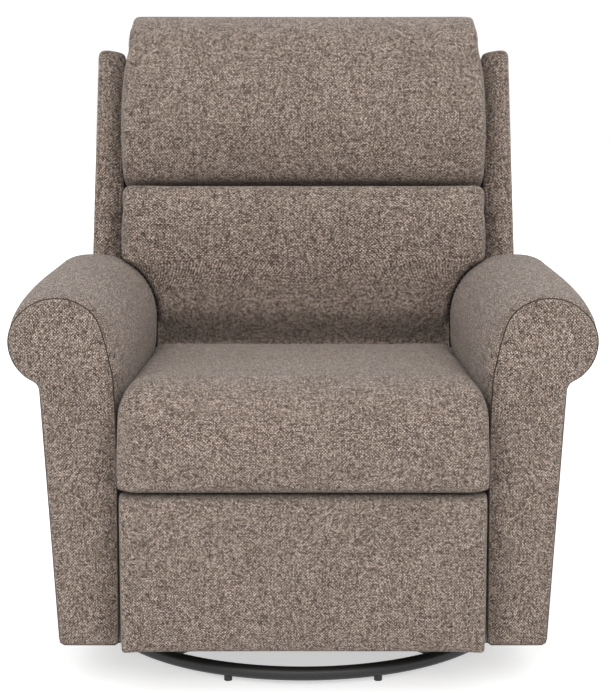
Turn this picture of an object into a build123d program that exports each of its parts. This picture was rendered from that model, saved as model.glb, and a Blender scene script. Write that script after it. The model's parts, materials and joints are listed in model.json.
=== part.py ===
from build123d import *
import os
from math import atan2, cos, degrees, hypot, radians, sin, tan

# Swivel glider recliner, closed and upright. Millimetres.
# +Z is up, the front of the chair faces -Y, and the floor is z = 0.
# The origin is on the floor, under the middle of the chair's box.
# Left means the sitter's left, which is +X. Left pieces are drawn and right ones mirrored.

os.makedirs("parts", exist_ok=True)

# ---------------------------------------------------------------- driving dimensions

# Fits and gaps
fit = 0.05                  # radial clearance of a running or bolted fit
open_pivot_gap = 0.6        # radial clearance of a pivot that closes a linkage loop
slot_gap = 1.4              # radial clearance of the footrest stud in its curved slot
face_gap = 0.3              # gap between plates that turn on each other
cloth_gap = 3.0             # gap between soft parts that move past each other

# Base ring
swivel_y = -76.7            # the swivel axis stands at this depth
ring_radius = 340.0         # centre line of the ring tube
ring_tube = 22.0            # tube diameter
foot_height = 7.0           # the glides hold the tube this far off the floor
foot_diameter = 13.0
foot_angles = (20.5, 67.0, 113.0, 159.5)   # from the front, on each side
spoke_width = 30.0
spoke_height = 18.0

# Swivel bearing
hub_diameter = 200.0
hub_thickness = 5.0
race_diameter = 164.0
race_thickness = 4.0
race_bore = 60.0
bearing_diameter = 150.0
bearing_width = 16.0
bearing_thickness = 4.0
king_bolt_diameter = 12.0
king_head_diameter = 24.0
king_head_height = 7.0

# Turntable and glider
turntable_side = 230.0
turntable_thickness = 5.0
turntable_corner = 20.0
frame_tube_width = 30.0
frame_tube_height = 25.0
frame_tube_wall = 2.5
frame_tube_offset = 80.0    # each frame tube lies this far from the swivel axis
tower_x = 176.0             # inner face of a tower
tower_thickness = 6.0
glide_pin_diameter = 12.0
glide_pin_offset = 100.0    # front and rear links hang this far from the swivel axis
glide_pin_z = 215.0         # upper pins
glide_link_length = 100.0
glide_link_width = 28.0
glide_link_thickness = 5.0
plate_step = 2.0            # free space between a link and the plate beside it

# Chassis
cross_tube_diameter = 25.0
cross_tube_wall = 2.0
cross_tube_z = 245.0
cross_tube_front_y = -60.0
cross_tube_rear_y = 120.0
hanger_thickness = 6.0
seat_to_track = 17.0        # the track's inner face stands this far inside the cushion's side
track_thickness = 4.0
track_bottom_z = 226.0
track_top_z = 352.0
track_front_y = -322.0
track_rear_y = 137.0
track_bolt_diameter = 24.0
track_bolt_z = 262.0
track_bolt_depths = (-235.0, -20.0)

# Arms
arm_front_y = -421.0        # face of the padded front panel
arm_bottom_z = 67.0
arm_panel_depth = 16.0
seat_to_arm = 8.5           # gap between the seat and the arm
arm_bottom_width = 89.5
arm_neck_out = 117.5        # where the roll meets the outer side, from the arm's inner side ...
arm_neck_z = 482.0          # ... and its height
arm_roll_out = 93.5         # middle of the roll
arm_roll_z = 548.5
arm_roll_radius = 70.5
arm_inner_roll_out = 16.5
pad_top_out = 87.5
pad_top_z = 635.0
pad_outer_out = 164.0
pad_outer_z = 557.5
pad_inner_step = 12.0       # the pad is this much fuller than the arm's inner side
pad_inner_low_z = 470.0
pad_inner_high_z = 515.0
pad_inner_start_z = 415.0
cover_wall = 16.0
arm_board = 12.0            # plywood of the arm frame
arm_board_top_z = 560.0

# Base box behind the arms
side_panel_wall = 10.0
rear_panel_y = 300.0
rear_panel_thickness = 12.0
sweep_gap = 5.0             # between the base box and the back as it swings

# Seat
seat_front_y = -455.0
seat_bottom_z = 314.0       # lower edge of the padded front
seat_front_top_z = 482.0
seat_rear_top_z = 464.0
seat_half_width = 284.0
seat_apron = 30.0           # padding in front of the front rail
seat_nose = 40.0            # radius of the front edge
seat_crown = 6.0
rail_bottom_z = 318.0
rail_height = 40.0
rail_width = 30.0
rail_rear_y = 50.0
track_to_plate = 10.0       # from the track's inner face to the seat plate's
seat_plate_thickness = 6.0
lobe_margin = 28.0          # of the seat plate, round its curved slot
lobe_front_reach = 84.0     # the plate's lobe starts this far in front of the drive pivot
seat_stud_diameter = 10.0
seat_stud_z = 337.0
seat_stud_depths = (-270.0, 60.0)
seat_travel = 30.0          # the seat moves forward this far as the back reclines
recline_angle = 27.0
spring_wire = 4.0
spring_half_width = 22.0
spring_count = 5
spring_turns = 10

# Footrest linkage, folded: angles are from straight forward, upwards positive
drive_pivot = (-200.0, 264.0)
drive_angle = -93.0
guide_angle = 39.4
drive_swing = 88.0
guide_swing = -14.4
drive_length = 170.0        # drive pivot to the long bar
drive_middle = 85.0         # drive pivot to the guide bar
guide_front = 70.0          # guide bar, from the drive bar to the second bar
guide_rear = 80.0           # guide bar, from the drive bar to its slot stud
long_bar_length = 252.0
front_step = 80.0           # spacing of the two footrest pivots
bar_width = 24.0
bar_thickness = 4.0
bar_gap = 2.0
plate_to_bar = 12.0         # from the seat plate to the drive, second and bracket plates
link_stud_diameter = 10.0
drive_shaft_diameter = 22.0
drive_shaft_wall = 2.5
drive_boss_width = 40.0

# Footrest
footrest_front_y = -460.0
footrest_bottom_z = 64.0
footrest_top_z = 311.0
footrest_side_step = 0.5    # the footrest is this much narrower than the seat on each side
footrest_pad = 45.0
footrest_edge = 12.0        # radius of the pad's edges
footrest_crown = 3.0
footrest_board = 15.0
footrest_board_inset = 10.0
bracket_flange = 24.0

# Back, drawn in its own leaning frame: w runs to the rear and u runs up along the back
back_lean = 16.0
back_plane_y = 158.0        # the wings' front plane passes this depth ...
back_plane_z = 635.0        # ... at this height
back_pivot_height = 363.0
back_pivot_depth = 25.0     # behind the wings' front plane
back_thickness = 202.8
back_height = 664.0         # top of the wings above the pivot's foot
arm_to_back_gap = 2.0
wing_gap = 4.0              # between a wing and the cushions
wing_bottom_width = 55.5
wing_top_width = 46.0
wing_bottom_u = -8.0
wing_corner_radius = 12.0
wing_flange_from_u = 180.0
lug_step = 5.0              # the lug stands this far outside the wing's inner face
lug_thickness = 21.0
lug_angle = 30.0
lug_overlap_angle = 1.0     # the lug starts this far inside the wing
post_width = 28.0
post_front_w = 70.0
post_depth = 60.0
post_bottom_u = 25.0
post_top_drop = 12.0        # the posts end this far below the wings' top
back_rail_height = 50.0
back_rail_middle_u = 330.0
hinge_pin_diameter = 12.0
hinge_plate_thickness = 6.0
hinge_plate_reach = 60.0
hinge_boss_radius = 16.0
back_bracket_top_u = 170.0
outside_panel_thickness = 12.0
outside_panel_crown = 3.0
webbing_width = 55.0
webbing_thickness = 2.0
webbing_count = 6
cushion_over_arm = 43.5     # the back cushions reach this far over the arms
back_cushion_edge = 22.0    # radius of the edges of the lumbar and the head cushion

# Lumbar cushion
lumbar_bottom_u = 20.0
lumbar_top_u = 388.0
lumbar_front_w = -45.0
lumbar_seat_w = -2.0        # where it meets the seat
lumbar_seat_u = 101.0
lumbar_tuck = 8.0           # it draws back this much towards its lower edge
lumbar_rise = 8.0           # how far the front still is from its fullest at lumbar_rise_u
lumbar_rise_u = 220.0
lumbar_arm_gap = 18.5       # the lumbar cushion's foot stays this far from the arms
lumbar_shoulder_z = 640.0

# Head cushion
head_bottom_u = 405.0
head_front_w = -46.0
head_crown = 6.0
head_brow_w = -36.0         # where the front turns over into the top ...
head_brow_rise = 36.0       # ... and how far above the posts that is
head_top_w = -14.0
head_top_rise = 65.0
head_crest_w = 50.0
head_crest_rise = 86.0
head_roll_w = 145.0
head_roll_rise = 68.0
head_rear_w = 195.0
head_rear_rise = 8.0

# Release lever, between the seat and the arm on the sitter's right
lever_pivot = (-120.0, 300.0)
seat_to_lever = 2.0
lever_thickness = 3.5
lever_top_z = 400.0
lever_tail_z = 262.0
lever_width = 16.0
lever_tab_width = 34.0
lever_pin_diameter = 8.0

# ---------------------------------------------------------------- derived places

pieces = {}

arm_inner_x = seat_half_width + seat_to_arm
arm_bottom_outer_x = arm_inner_x + arm_bottom_width
arm_neck = (arm_inner_x + arm_neck_out, arm_neck_z)
arm_roll_centre = (arm_inner_x + arm_roll_out, arm_roll_z)
arm_inner_roll_x = arm_inner_x + arm_inner_roll_out
pad_top = (arm_inner_x + pad_top_out, pad_top_z)
pad_outer_x = arm_inner_x + pad_outer_out
pad_inner_x = arm_inner_x - pad_inner_step
side_panel_inner_x = arm_bottom_outer_x - side_panel_wall
track_x = seat_half_width - seat_to_track
seat_plate_x = track_x - track_to_plate
drive_bar_x = seat_plate_x - plate_to_bar
footrest_half_width = seat_half_width - footrest_side_step
cushion_half_width = arm_inner_x + cushion_over_arm
lumbar_lower_half_width = arm_inner_x - lumbar_arm_gap
wing_inner_x = cushion_half_width + wing_gap
wing_bottom_outer_x = wing_inner_x + wing_bottom_width
wing_top_outer_x = wing_inner_x + wing_top_width
lug_inner_x = wing_inner_x + lug_step
lever_x = seat_half_width + seat_to_lever


def turned(start, length, angle):
    """Side-view point (y, z) at a length and an angle from start, forward being -y."""
    return (start[0] - length * cos(radians(angle)), start[1] + length * sin(radians(angle)))


def side(x):
    """Side-view plane at a place across the chair: local x is y, local y is z."""
    return Plane.YZ.offset(x)


def across(y):
    """Upright plane that faces the front: local x is x, local y is z."""
    return Plane(origin=(0, y, 0), x_dir=(1, 0, 0), z_dir=(0, -1, 0))


def footrest_points(share):
    """The linkage's pivots when the footrest has opened by this share of its swing."""
    drive = drive_angle + drive_swing * share
    guide = guide_angle + guide_swing * share
    long_rear = turned(drive_pivot, drive_length, drive)
    guide_middle = turned(drive_pivot, drive_middle, drive)
    second_top = turned(guide_middle, guide_front, guide)
    second_middle = turned(long_rear, guide_front, guide)
    long_front = turned(long_rear, long_bar_length, guide)
    second_front = turned(second_middle, front_step, drive)
    return {
        "long_rear": long_rear,
        "guide_middle": guide_middle,
        "second_top": second_top,
        "second_middle": second_middle,
        "long_front": long_front,
        "second_front": second_front,
        "front_lower": turned(long_front, front_step, drive),
        "slot_stud": turned(guide_middle, -guide_rear, guide),
    }


def mirrored(piece):
    """The right-hand copy of a left-hand piece."""
    with BuildPart() as copy:
        mirror(piece.part, about=Plane.YZ)
    return copy


def keep_pair(name, piece):
    pieces[f"{name}_left"] = piece
    pieces[f"{name}_right"] = mirrored(piece)


def bar_outline(start, end, width, x):
    """Bar with round ends between two side-view points."""
    run_y = end[0] - start[0]
    run_z = end[1] - start[1]
    middle = ((start[0] + end[0]) / 2, (start[1] + end[1]) / 2)
    with BuildSketch(side(x)) as outline:
        with Locations(middle):
            SlotCenterToCenter(hypot(run_y, run_z), width, rotation=degrees(atan2(run_z, run_y)))
    return outline.sketch


def disc(centre, diameter, x):
    """Round profile at a side-view point."""
    with BuildSketch(side(x)) as outline:
        with Locations(centre):
            Circle(diameter / 2)
    return outline.sketch


ring_z = foot_height + ring_tube / 2
spoke_top_z = ring_z + spoke_height / 2
hub_top_z = spoke_top_z + hub_thickness
lower_race_top_z = hub_top_z + race_thickness
bearing_top_z = lower_race_top_z + bearing_thickness
upper_race_z = bearing_top_z + face_gap
turntable_z = upper_race_z + race_thickness
frame_z = turntable_z + turntable_thickness
link_x = tower_x + tower_thickness + plate_step
hanger_x = link_x + glide_link_thickness + plate_step
glide_low_z = glide_pin_z - glide_link_length
glide_depths = (swivel_y - glide_pin_offset, swivel_y + glide_pin_offset)
track_outer_x = track_x + track_thickness
guide_bar_x = drive_bar_x + bar_thickness + bar_gap
rail_top_z = rail_bottom_z + rail_height
seat_plate_outer_x = seat_plate_x + seat_plate_thickness
rail_inner_x = seat_plate_x - rail_width
apron_rear_y = seat_front_y + seat_apron
cushion_rear_w = post_front_w - webbing_thickness
post_top_u = back_height - post_top_drop
head_brow_u = post_top_u + head_brow_rise
head_top_u = post_top_u + head_top_rise
head_crest_u = post_top_u + head_crest_rise
head_roll_u = post_top_u + head_roll_rise
head_rear_u = post_top_u + head_rear_rise
drive_points = footrest_points(0)
outer_slope = (arm_neck[0] - arm_bottom_outer_x) / (arm_neck[1] - arm_bottom_z)

lean_sin = sin(radians(back_lean))
lean_cos = cos(radians(back_lean))


def back_point(w, u):
    """Side-view point (y, z) of a place in the back's leaning frame."""
    return (back_foot[0] + w * lean_cos + u * lean_sin, back_foot[1] - w * lean_sin + u * lean_cos)


foot_u = (back_plane_z - back_pivot_height - back_pivot_depth * lean_sin) / lean_cos
back_foot = (back_plane_y - foot_u * lean_sin, back_plane_z - foot_u * lean_cos)
back_pivot = back_point(back_pivot_depth, 0)
sweep_radius = hypot(back_thickness - back_pivot_depth, wing_bottom_u)

# The base box ends under the back's rear face as it stands at full recline.
full_lean = radians(back_lean + recline_angle)
rear_reach = back_thickness + outside_panel_crown + sweep_gap - back_pivot_depth
level_reach = (rear_panel_y - back_pivot[0]) * cos(full_lean)
rear_panel_top_z = back_pivot[1] - (rear_reach - level_reach) / sin(full_lean)


def back_side(x):
    """Side-view plane of the leaning back: local x is w, local y is u."""
    return Plane(origin=(x, back_foot[0], back_foot[1]), x_dir=(0, lean_cos, -lean_sin), z_dir=(1, 0, 0))


def reclined_side(x):
    """Side-view plane of the back at full recline, from its pivot."""
    return Plane(origin=(x, *back_pivot), x_dir=(0, cos(full_lean), -sin(full_lean)), z_dir=(1, 0, 0))


def back_front(w):
    """Plane along the back, facing the front: local x is x, local y is u."""
    foot = back_point(w, 0)
    return Plane(origin=(0, foot[0], foot[1]), x_dir=(1, 0, 0), z_dir=(0, -lean_cos, lean_sin))


# ---------------------------------------------------------------- base

with BuildPart() as base_ring:
    with Locations((0, swivel_y, ring_z)):
        Torus(ring_radius, ring_tube / 2)
pieces["base_ring"] = base_ring

with BuildPart() as base_spokes:
    with Locations((0, swivel_y, ring_z)):
        for turn in (45, 135):
            Box(2 * ring_radius, spoke_width, spoke_height, rotation=(0, 0, turn))
    add(base_ring.part, mode=Mode.SUBTRACT)
    with Locations((0, swivel_y, spoke_top_z)):
        Hole(king_bolt_diameter / 2 + fit)
    with Locations((0, swivel_y, ring_z - spoke_height / 2)):
        Cylinder(king_head_diameter / 2 + fit, king_head_height, mode=Mode.SUBTRACT,
                 align=(Align.CENTER, Align.CENTER, Align.MIN))
pieces["base_spokes"] = base_spokes

with BuildPart() as ring_feet:
    for angle in foot_angles:
        for hand in (1, -1):
            foot_x = hand * ring_radius * sin(radians(angle))
            foot_y = swivel_y - ring_radius * cos(radians(angle))
            with Locations((foot_x, foot_y, 0)):
                Cylinder(foot_diameter / 2, ring_z, align=(Align.CENTER, Align.CENTER, Align.MIN))
    add(base_ring.part, mode=Mode.SUBTRACT)
pieces["ring_feet"] = ring_feet

with BuildPart() as base_hub:
    with Locations((0, swivel_y, spoke_top_z)):
        Cylinder(hub_diameter / 2, hub_thickness, align=(Align.CENTER, Align.CENTER, Align.MIN))
        Hole(king_bolt_diameter / 2 + fit)
pieces["base_hub"] = base_hub

with BuildPart() as swivel_lower_race:
    with BuildSketch(Plane.XY.offset(hub_top_z)):
        with Locations((0, swivel_y)):
            Circle(race_diameter / 2)
            Circle(race_bore / 2, mode=Mode.SUBTRACT)
    extrude(amount=race_thickness)
pieces["swivel_lower_race"] = swivel_lower_race

with BuildPart() as swivel_bearing:
    with BuildSketch(Plane.XY.offset(lower_race_top_z)):
        with Locations((0, swivel_y)):
            Circle(bearing_diameter / 2)
            Circle(bearing_diameter / 2 - bearing_width, mode=Mode.SUBTRACT)
    extrude(amount=bearing_thickness)
pieces["swivel_bearing"] = swivel_bearing

with BuildPart() as king_bolt:
    with Locations((0, swivel_y, ring_z - spoke_height / 2)):
        Cylinder(king_head_diameter / 2, king_head_height, align=(Align.CENTER, Align.CENTER, Align.MIN))
        Cylinder(king_bolt_diameter / 2, frame_z + face_gap - ring_z + spoke_height / 2,
                 align=(Align.CENTER, Align.CENTER, Align.MIN))
    with BuildSketch(Plane.XY.offset(frame_z + face_gap)):
        with Locations((0, swivel_y)):
            RegularPolygon(king_head_diameter / 2, 6)
    extrude(amount=king_head_height)
pieces["king_bolt"] = king_bolt

# ---------------------------------------------------------------- turntable and glider

with BuildPart() as swivel_upper_race:
    with BuildSketch(Plane.XY.offset(upper_race_z)):
        with Locations((0, swivel_y)):
            Circle(race_diameter / 2)
            Circle(race_bore / 2, mode=Mode.SUBTRACT)
    extrude(amount=race_thickness)
pieces["swivel_upper_race"] = swivel_upper_race

with BuildPart() as turntable_plate:
    with BuildSketch(Plane.XY.offset(turntable_z)):
        with Locations((0, swivel_y)):
            RectangleRounded(turntable_side, turntable_side, turntable_corner)
            Circle(king_bolt_diameter / 2 + fit, mode=Mode.SUBTRACT)
    extrude(amount=turntable_thickness)
pieces["turntable_plate"] = turntable_plate

with BuildPart() as glider_frame:
    with BuildSketch(side(-tower_x)):
        for hand in (1, -1):
            with Locations((swivel_y + hand * frame_tube_offset, frame_z + frame_tube_height / 2)):
                Rectangle(frame_tube_width, frame_tube_height)
                Rectangle(frame_tube_width - 2 * frame_tube_wall, frame_tube_height - 2 * frame_tube_wall,
                          mode=Mode.SUBTRACT)
    extrude(amount=2 * tower_x)
pieces["glider_frame"] = glider_frame

with BuildPart() as tower:
    with BuildSketch(side(tower_x)):
        with Locations((swivel_y, (frame_z + glide_pin_z) / 2)):
            Rectangle(2 * glide_pin_offset, glide_pin_z - frame_z)
        for depth in glide_depths:
            with Locations((depth, glide_pin_z)):
                Circle(glide_pin_diameter)
            with Locations((depth, (frame_z + glide_pin_z) / 2)):
                Rectangle(2 * glide_pin_diameter, glide_pin_z - frame_z)
        with Locations((swivel_y, glide_pin_z)):
            Rectangle(glide_pin_offset, glide_link_length, mode=Mode.SUBTRACT)
    extrude(amount=tower_thickness)
    for depth in glide_depths:
        extrude(disc((depth, glide_pin_z), glide_pin_diameter, tower_x + tower_thickness),
                amount=plate_step + glide_link_thickness)
keep_pair("glider_tower", tower)


def make_glide_links(depth, low_gap):
    """The left and right link of one end, with holes for the upper and lower pins."""
    with BuildPart() as links:
        extrude(bar_outline((depth, glide_low_z), (depth, glide_pin_z), glide_link_width, link_x),
                amount=glide_link_thickness)
        extrude(disc((depth, glide_pin_z), glide_pin_diameter + 2 * fit, link_x),
                amount=glide_link_thickness, mode=Mode.SUBTRACT)
        extrude(disc((depth, glide_low_z), glide_pin_diameter + 2 * low_gap, link_x),
                amount=glide_link_thickness, mode=Mode.SUBTRACT)
        mirror(about=Plane.YZ)
    return links


pieces["glide_links_front"] = make_glide_links(glide_depths[0], fit)
pieces["glide_links_rear"] = make_glide_links(glide_depths[1], open_pivot_gap)

# ---------------------------------------------------------------- chassis

tube_radius = cross_tube_diameter / 2
hanger_foot = glide_pin_diameter + bar_gap

with BuildPart() as hanger:
    with BuildSketch(side(hanger_x)):
        Polygon(
            (glide_depths[0] - hanger_foot, glide_low_z - hanger_foot),
            (glide_depths[1] + hanger_foot, glide_low_z - hanger_foot),
            (cross_tube_rear_y + 2 * tube_radius, cross_tube_z - tube_radius),
            (cross_tube_rear_y + 2 * tube_radius, cross_tube_z + tube_radius),
            (cross_tube_front_y - 2 * tube_radius, cross_tube_z + tube_radius),
            (glide_depths[0] - hanger_foot, glide_low_z + hanger_foot),
        )
        for depth in (cross_tube_front_y, cross_tube_rear_y):
            with Locations((depth, cross_tube_z)):
                Circle(tube_radius + fit, mode=Mode.SUBTRACT)
    extrude(amount=hanger_thickness)
    for depth in glide_depths:
        extrude(disc((depth, glide_low_z), glide_pin_diameter, hanger_x),
                amount=-plate_step - glide_link_thickness)
keep_pair("glider_hanger", hanger)


with BuildPart() as cross_tubes:
    with BuildSketch(side(-track_x)):
        for depth in (cross_tube_front_y, cross_tube_rear_y):
            with Locations((depth, cross_tube_z)):
                Circle(tube_radius)
                Circle(tube_radius - cross_tube_wall, mode=Mode.SUBTRACT)
    extrude(amount=2 * track_x)
pieces["cross_tubes"] = cross_tubes

frame_inner_x = arm_inner_x + cover_wall + fit

with BuildPart() as track:
    with BuildSketch(side(track_x)):
        with Locations(((track_front_y + track_rear_y) / 2, (track_bottom_z + track_top_z) / 2)):
            Rectangle(track_rear_y - track_front_y, track_top_z - track_bottom_z)
        for depth in seat_stud_depths:
            with Locations((depth - seat_travel / 2, seat_stud_z)):
                SlotCenterToCenter(seat_travel + 2 * fit, seat_stud_diameter + 2 * open_pivot_gap,
                                   mode=Mode.SUBTRACT)
    extrude(amount=track_thickness)
    for depth in track_bolt_depths:
        extrude(disc((depth, track_bolt_z), track_bolt_diameter, track_outer_x),
                amount=frame_inner_x - track_outer_x)
keep_pair("seat_track", track)

# ---------------------------------------------------------------- arms

roll_top = (arm_roll_centre[0], arm_roll_centre[1] + arm_roll_radius)
arm_rear_y = arm_front_y + arm_panel_depth
arm_reach = back_plane_y - arm_rear_y + back_thickness / 4
arm_cut = Plane(origin=(0, *back_point(-arm_to_back_gap, 0)), x_dir=(1, 0, 0), z_dir=(0, -lean_cos, lean_sin))


def outer_x(z):
    """The arm's outer side at a height."""
    return arm_bottom_outer_x + (z - arm_bottom_z) * outer_slope


def on_circle(centre, radius, angle):
    return (centre[0] + radius * cos(radians(angle)), centre[1] + radius * sin(radians(angle)))


def panel_outline(y):
    """The padded front panel of the left arm: a straight post with a full roll on top."""
    inner_roll_radius = arm_roll_centre[0] - arm_inner_roll_x
    inner_centre = (arm_roll_centre[0], roll_top[1] - inner_roll_radius)
    with BuildSketch(across(y)) as outline:
        with BuildLine():
            Polyline(arm_neck, (arm_bottom_outer_x, arm_bottom_z), (arm_inner_x, arm_bottom_z),
                     (arm_inner_x, pad_inner_start_z), (arm_inner_roll_x, inner_centre[1]))
            ThreePointArc((arm_inner_roll_x, inner_centre[1]),
                          on_circle(inner_centre, inner_roll_radius, 135), roll_top)
            ThreePointArc(roll_top, on_circle(arm_roll_centre, arm_roll_radius, 20), arm_neck)
        make_face()
    return outline.sketch


def pad_outline(y):
    """The arm pad behind the panel, fuller than it at the top and the inner side."""
    inner_radius = pad_top[1] - pad_inner_high_z
    inner_middle = (pad_inner_x + (pad_top[0] - pad_inner_x) * (1 - cos(radians(45))),
                    pad_inner_high_z + inner_radius * sin(radians(45)))
    outer_middle = (pad_top[0] + (pad_outer_x - pad_top[0]) * sin(radians(45)),
                    pad_outer_z + (pad_top[1] - pad_outer_z) * cos(radians(45)))
    low_middle = (pad_outer_x - (pad_outer_x - arm_neck[0]) * (1 - cos(radians(45))),
                  pad_outer_z - (pad_outer_z - arm_neck[1]) * sin(radians(45)))
    with BuildSketch(across(y)) as outline:
        with BuildLine():
            Polyline(arm_neck, (arm_bottom_outer_x, arm_bottom_z), (arm_inner_x, arm_bottom_z),
                     (arm_inner_x, pad_inner_start_z), (pad_inner_x, pad_inner_low_z),
                     (pad_inner_x, pad_inner_high_z))
            ThreePointArc((pad_inner_x, pad_inner_high_z), inner_middle, pad_top)
            ThreePointArc(pad_top, outer_middle, (pad_outer_x, pad_outer_z))
            ThreePointArc((pad_outer_x, pad_outer_z), low_middle, arm_neck)
        make_face()
    return outline.sketch


with BuildPart() as arm_panel:
    extrude(panel_outline(arm_rear_y), amount=arm_panel_depth)
keep_pair("arm_front_panel", arm_panel)

# The plywood box inside the arm: two sides and a top board, open in front and behind.
board_bottom_z = arm_bottom_z + cover_wall

with BuildPart() as arm_frame:
    with BuildSketch(across(arm_rear_y + arm_reach)):
        Polygon(
            (frame_inner_x, board_bottom_z),
            (outer_x(board_bottom_z) - cover_wall, board_bottom_z),
            (outer_x(arm_neck[1]) - cover_wall, arm_neck[1]),
            (outer_x(arm_neck[1]) - cover_wall, arm_board_top_z),
            (frame_inner_x, arm_board_top_z),
        )
        Polygon(
            (frame_inner_x + arm_board, board_bottom_z),
            (outer_x(board_bottom_z) - cover_wall - arm_board, board_bottom_z),
            (outer_x(arm_neck[1]) - cover_wall - arm_board, arm_neck[1]),
            (outer_x(arm_neck[1]) - cover_wall - arm_board, arm_board_top_z - arm_board),
            (frame_inner_x + arm_board, arm_board_top_z - arm_board),
            mode=Mode.SUBTRACT,
        )
    extrude(amount=arm_reach)
    split(bisect_by=arm_cut)
keep_pair("arm_frame", arm_frame)

with BuildPart() as arm_cover:
    extrude(pad_outline(arm_rear_y + arm_reach), amount=arm_reach)
    split(bisect_by=arm_cut)
    with BuildSketch(across(arm_rear_y + arm_reach)) as cavity:
        Polygon(
            (frame_inner_x - fit, board_bottom_z - fit),
            (outer_x(board_bottom_z) - cover_wall + fit, board_bottom_z - fit),
            (outer_x(arm_neck[1]) - cover_wall + fit, arm_neck[1]),
            (outer_x(arm_neck[1]) - cover_wall + fit, arm_board_top_z + fit),
            (frame_inner_x - fit, arm_board_top_z + fit),
        )
    extrude(cavity.sketch, amount=arm_reach, mode=Mode.SUBTRACT)
    for depth in track_bolt_depths:
        extrude(disc((depth, track_bolt_z), track_bolt_diameter + 2 * fit, arm_inner_x - cloth_gap),
                amount=cover_wall + 2 * cloth_gap, mode=Mode.SUBTRACT)
keep_pair("arm_cover", arm_cover)

# Steel plates inside the arms that reach back to the pivots of the back.
hinge_plate_x = frame_inner_x + arm_board
bracket_x = hinge_plate_x - face_gap - hinge_plate_thickness

with BuildPart() as hinge_plate:
    with BuildSketch(back_side(hinge_plate_x)):
        with Locations(((back_pivot_depth - hinge_plate_reach) / 2, 0)):
            SlotCenterToCenter(back_pivot_depth + hinge_plate_reach, 2 * hinge_boss_radius)
    extrude(amount=hinge_plate_thickness)
    extrude(disc(back_pivot, hinge_pin_diameter, hinge_plate_x),
            amount=-face_gap - hinge_plate_thickness - plate_step)
keep_pair("back_hinge_plate", hinge_plate)

# Side panels of the base box behind the arms, cut round for the sweep of the back.
side_panel_reach = rear_panel_y - back_foot[0] + back_thickness

with BuildPart() as side_panel:
    with BuildSketch(across(rear_panel_y)):
        Polygon(
            (side_panel_inner_x, arm_bottom_z),
            (outer_x(arm_bottom_z), arm_bottom_z),
            (outer_x(rear_panel_top_z), rear_panel_top_z),
            (side_panel_inner_x, rear_panel_top_z),
        )
    extrude(amount=side_panel_reach)
    extrude(disc(back_pivot, 2 * (sweep_radius + sweep_gap), side_panel_inner_x),
            amount=arm_bottom_outer_x, mode=Mode.SUBTRACT)
    with BuildSketch(reclined_side(side_panel_inner_x)):
        Rectangle(rear_reach, back_height, align=(Align.MIN, Align.MIN))
    extrude(amount=arm_bottom_outer_x, mode=Mode.SUBTRACT)
    split(bisect_by=arm_cut, keep=Keep.BOTTOM)
keep_pair("base_side_panel", side_panel)

with BuildPart() as base_rear_panel:
    with BuildSketch(across(rear_panel_y + rear_panel_thickness)):
        Polygon(
            (-outer_x(arm_bottom_z), arm_bottom_z),
            (outer_x(arm_bottom_z), arm_bottom_z),
            (outer_x(rear_panel_top_z), rear_panel_top_z),
            (-outer_x(rear_panel_top_z), rear_panel_top_z),
        )
    extrude(amount=rear_panel_thickness)
pieces["base_rear_panel"] = base_rear_panel

# ---------------------------------------------------------------- release lever

with BuildPart() as lever_pin:
    extrude(disc(lever_pivot, 2 * lever_pin_diameter, track_outer_x),
            amount=lever_x - track_outer_x - face_gap)
    extrude(disc(lever_pivot, lever_pin_diameter, track_outer_x),
            amount=lever_x + lever_thickness - track_outer_x)
    mirror(about=Plane.YZ, mode=Mode.REPLACE)
pieces["release_lever_pin"] = lever_pin

with BuildPart() as release_lever:
    extrude(bar_outline((lever_pivot[0], lever_tail_z), (lever_pivot[0], lever_top_z), lever_width, lever_x),
            amount=lever_thickness)
    extrude(bar_outline((lever_pivot[0] - lever_tab_width / 2, lever_top_z),
                        (lever_pivot[0] + lever_tab_width / 2, lever_top_z), lever_width, lever_x),
            amount=lever_thickness)
    extrude(disc(lever_pivot, lever_pin_diameter + 2 * fit, lever_x), amount=lever_thickness,
            mode=Mode.SUBTRACT)
    mirror(about=Plane.YZ, mode=Mode.REPLACE)
pieces["release_lever"] = release_lever

# ---------------------------------------------------------------- seat

slot_fold = drive_points["slot_stud"]
slot_middle = footrest_points(0.5)["slot_stud"]
slot_open = footrest_points(1)["slot_stud"]
slot_width = link_stud_diameter + 2 * slot_gap

with BuildPart() as seat_plate:
    with BuildSketch(side(seat_plate_x)):
        with Locations(((apron_rear_y + rail_rear_y) / 2, (rail_bottom_z + rail_top_z) / 2)):
            Rectangle(rail_rear_y - apron_rear_y, rail_height)
        Polygon(
            (slot_fold[0] + lobe_margin, rail_bottom_z + rail_width / 2),
            (slot_fold[0] + lobe_margin, slot_fold[1]),
            (slot_fold[0], slot_fold[1] - lobe_margin),
            (slot_fold[0] - lobe_margin, slot_fold[1] - lobe_margin),
            (slot_open[0] - lobe_margin, slot_open[1] - lobe_margin),
            (drive_pivot[0] - lobe_front_reach, rail_bottom_z + rail_width / 2),
        )
        SlotArc(Edge.make_three_point_arc(slot_fold, slot_middle, slot_open), slot_width, mode=Mode.SUBTRACT)
        with Locations(drive_pivot):
            Circle(drive_shaft_diameter / 2 + fit, mode=Mode.SUBTRACT)
    extrude(amount=seat_plate_thickness)
    for depth in seat_stud_depths:
        stud = (depth, seat_stud_z)
        stud_reach = track_outer_x + face_gap - seat_plate_outer_x
        extrude(disc(stud, seat_stud_diameter, seat_plate_outer_x), amount=stud_reach)
        extrude(disc(stud, 2 * seat_stud_diameter, track_outer_x + face_gap), amount=plate_step)
    with BuildSketch(side(seat_plate_x)):
        with Locations(((rail_rear_y + seat_stud_depths[1]) / 2, seat_stud_z)):
            Rectangle(rail_width, 2 * seat_stud_diameter)
    extrude(amount=seat_plate_thickness)
keep_pair("seat_side_plate", seat_plate)

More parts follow.
